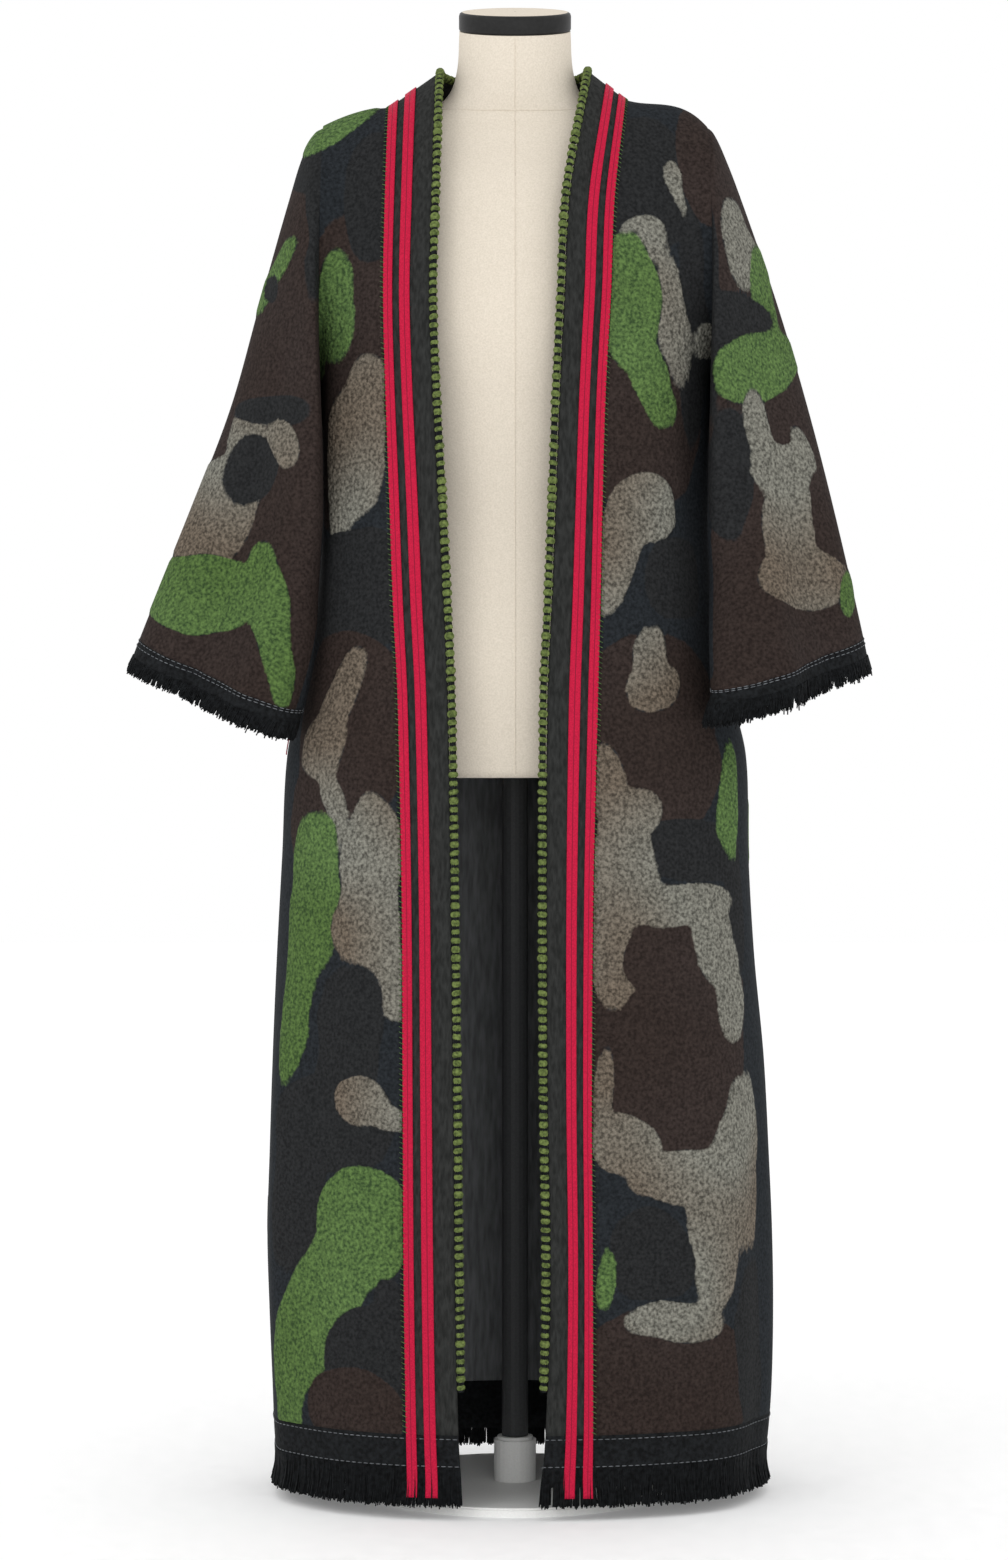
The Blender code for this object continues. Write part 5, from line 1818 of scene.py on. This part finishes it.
@dataclass
class DressForm:
    """Limbless dress form with a cream cover, a black cap and a plain stand."""

    columns: int = 96
    rows: int = 130
    row_power: float = 1.5
    foot: float = TORSO[0].z
    top: float = TORSO[-1].z
    closing: tuple[float, ...] = (0.01, 0.5, 0.99)
    seam_inset: float = 0.002
    seam_places: int = 200
    seam_radius: float = 0.0006
    seam_sides: int = 6
    neck_seam: float = 1.318
    neck_seam_tilt: float = 0.010
    cap_radius: float = 0.0535
    cap_height: float = 0.018
    cap_tilt: float = math.radians(16.0)
    cap_gap: float = 0.0003
    cap_middle: float = 0.001
    cap_rim_rings: int = 6

    def turns(self) -> Array:
        """List the angles round the form."""
        return np.arange(self.columns) / self.columns * 2.0 * math.pi

    def cover_points(self, turn: Array, z: Array) -> Array:
        """Lay out the cover.

        Args:
            turn: Angles round it.
            z: Heights, before the neck's tilt.

        Returns:
            Its points.
        """
        x = along(TORSO, z, "half_width") * np.cos(turn)
        y = along(TORSO, z, "half_depth") * np.sin(turn)
        tilt = math.tan(self.cap_tilt) * along(TORSO, z, "tilt")
        return np.stack(np.broadcast_arrays(x, y, z + y * tilt), -1)

    def build(self, nodes: dict[str, Piece], finishes: Finishes) -> None:
        """Make the cover and the cap, and give the stand its paint.

        Args:
            nodes: The frame's own pieces by name.
            finishes: The materials.
        """
        share = np.linspace(0.0, 1.0, self.rows)
        z = self.foot + (self.top - self.foot) * (1.0 - (1.0 - share) ** self.row_power)
        body = self.cover_points(self.turns(), z[:, None])
        foot = [body[:1] * (s, s, 1.0) for s in self.closing]
        head_middle = np.array((0.0, 0.0, self.top))
        head = [head_middle + (body[-1:] - head_middle) * s for s in self.closing[::-1]]
        points = np.concatenate((*foot, body, *head))
        sheet = Sheet.on(points, np.array((0.0, 0.0, 1.0)), closed=True)
        piece = mesh_piece("torso_cover", points.reshape(-1, 3), sheet.quads(), (finishes.cream,))
        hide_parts("torso")
        self.seams(finishes.cream)
        self.cap(finishes)
        painted = (("pole", finishes.pole), ("socket", finishes.stand), ("base", finishes.stand))
        for name, finish in painted:
            nodes[name].data.materials.clear()
            nodes[name].data.materials.append(finish)

    def seams(self, cream: Finish) -> None:
        """Make fine raised seams down the front and back and round the base of the neck.

        Args:
            cream: The cover's material.
        """
        z = np.linspace(self.foot + self.seam_inset, self.top - self.seam_inset, self.seam_places)
        paths = [self.cover_points(np.full(z.shape, angle), z) for angle in (-0.5 * math.pi, 0.5 * math.pi)]
        turn = np.linspace(0.0, 2.0 * math.pi, self.seam_places)
        paths.append(self.cover_points(turn, self.neck_seam + self.neck_seam_tilt * np.sin(turn)))
        paths = np.stack(paths)
        points, faces = tubes(paths, np.full(paths.shape[:2], self.seam_radius), self.seam_sides)
        piece = mesh_piece("cover_seams", points, faces, (cream,))

    def cap(self, finishes: Finishes) -> None:
        """Make the black rim on the neck with its pale top, tilted forwards with the neck.

        Args:
            finishes: The materials.
        """
        r, h = self.cap_radius, self.cap_height
        # Radius and height of each ring, from the middle below, round the rounded rim, to the middle above
        profile = (
            (self.cap_middle, 0.0),
            (r - 0.002, 0.0),
            (r - 0.0006, 0.0006),
            (r, 0.002),
            (r, h - 0.004),
            (r - 0.0008, h - 0.0016),
            (r - 0.003, h - 0.0003),
            (r - 0.006, h),
            (0.5 * r, h),
            (self.cap_middle, h),
        )
        turn = self.turns()
        radius, height = np.array(profile).T
        x = radius[:, None] * np.cos(turn)
        y = radius[:, None] * np.sin(turn)
        up = np.broadcast_to(height[:, None], x.shape)
        cos, sin = math.cos(self.cap_tilt), math.sin(self.cap_tilt)
        points = np.stack((x, y * cos - up * sin, y * sin + up * cos + self.top + self.cap_gap), -1)
        sheet = Sheet.on(points, np.array((0.0, 0.0, self.top + 0.5 * h)), closed=True)
        pale = np.repeat(np.arange(len(profile) - 1) >= self.cap_rim_rings, self.columns)
        both = (finishes.plastic, finishes.cream)
        piece = mesh_piece("neck_cap_moulded", points.reshape(-1, 3), sheet.quads(), both, pale)
        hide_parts("neck_cap")


Lamp = namedtuple("Lamp", "name place target power size")


@dataclass(frozen=True)
class Studio:
    """White floor in a white room, soft light from the upper left and a camera at the photo's place."""

    eye: tuple[float, float, float] = (-0.0105, -3.6, 0.676)
    lens: float = 87.0
    sensor: float = 36.0
    floor_size: float = 24.0
    ambient: float = 1.0
    floor_glow: float = 0.12
    lamps: tuple[Lamp, ...] = (
        Lamp("key", (-2.3, -2.7, 2.7), (0.0, 0.0, 0.75), 14.0, 1.5),
        Lamp("fill", (0.6, -3.9, 0.9), (0.0, 0.0, 0.60), 14.0, 1.6),
    )

    def build(self) -> None:
        """Set the stage."""
        half = 0.5 * self.floor_size
        floor = self.card("floor", ((-half, -half, 0), (half, -half, 0), (half, half, 0), (-half, half, 0)))
        # Matt white backdrop paper: an even white that glows a little, so that it fades into the room
        paper = Surface("white_floor_paper", "#f4f4f4", "#fafafa", 0.9, 20.0).build()
        shader = paper.node_tree.nodes["Principled BSDF"]
        shader.inputs["Emission Color"].default_value = linear("#ffffff")
        shader.inputs["Emission Strength"].default_value = self.floor_glow
        floor.data.materials.append(paper)
        world = bpy.data.worlds.new("studio")
        world.use_nodes = True
        world.node_tree.nodes["Background"].inputs["Color"].default_value = linear("#ffffff")
        world.node_tree.nodes["Background"].inputs["Strength"].default_value = self.ambient
        bpy.context.scene.world = world
        bpy.context.scene.view_settings.view_transform = "Standard"
        lights = [self.light(lamp) for lamp in self.lamps]
        camera = bpy.data.objects.new("camera", bpy.data.cameras.new("camera"))
        camera.location = self.eye
        camera.rotation_euler = (0.5 * math.pi, 0.0, 0.0)
        camera.data.sensor_fit = "VERTICAL"
        camera.data.sensor_height = self.sensor
        camera.data.lens = self.lens
        bpy.context.scene.collection.objects.link(camera)
        bpy.context.scene.camera = camera

    def card(self, name: str, corners: Sequence[tuple[float, float, float]]) -> Piece:
        """Make a flat card.

        Args:
            name: Its name.
            corners: Its four corners.

        Returns:
            The card.
        """
        mesh = bpy.data.meshes.new(name)
        mesh.from_pydata(corners, [], [(0, 1, 2, 3)])
        card = bpy.data.objects.new(name, mesh)
        bpy.context.scene.collection.objects.link(card)
        return card

    def light(self, lamp: Lamp) -> Piece:
        """Make a soft square light turned to its target.

        Args:
            lamp: The light's row in the table.

        Returns:
            The light.
        """
        data = bpy.data.lights.new(lamp.name, "AREA")
        data.energy = lamp.power
        data.size = lamp.size
        light = bpy.data.objects.new(lamp.name, data)
        light.location = lamp.place
        ray = np.array(lamp.target) - np.array(lamp.place)
        across = math.hypot(ray[0], ray[1])
        light.rotation_euler = (math.atan2(across, -ray[2]), 0.0, math.atan2(ray[1], ray[0]) - 0.5 * math.pi)
        bpy.context.scene.collection.objects.link(light)
        return light


def main() -> None:
    """Build every piece on the frame, and set the stage."""
    logging.basicConfig(level=logging.INFO, format="%(name)s: %(message)s")
    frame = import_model()
    shape = CoatShape()
    pattern = Camouflage()
    finishes = Finishes.build()
    Panels(shape, pattern).build(finishes)
    Sleeves(shape, pattern).build(finishes)
    FrontBands(shape).build(finishes)
    Hems(shape).build(finishes)
    DressForm().build(frame["nodes"], finishes)
    Studio().build()


if __name__ == "__main__":
    main()
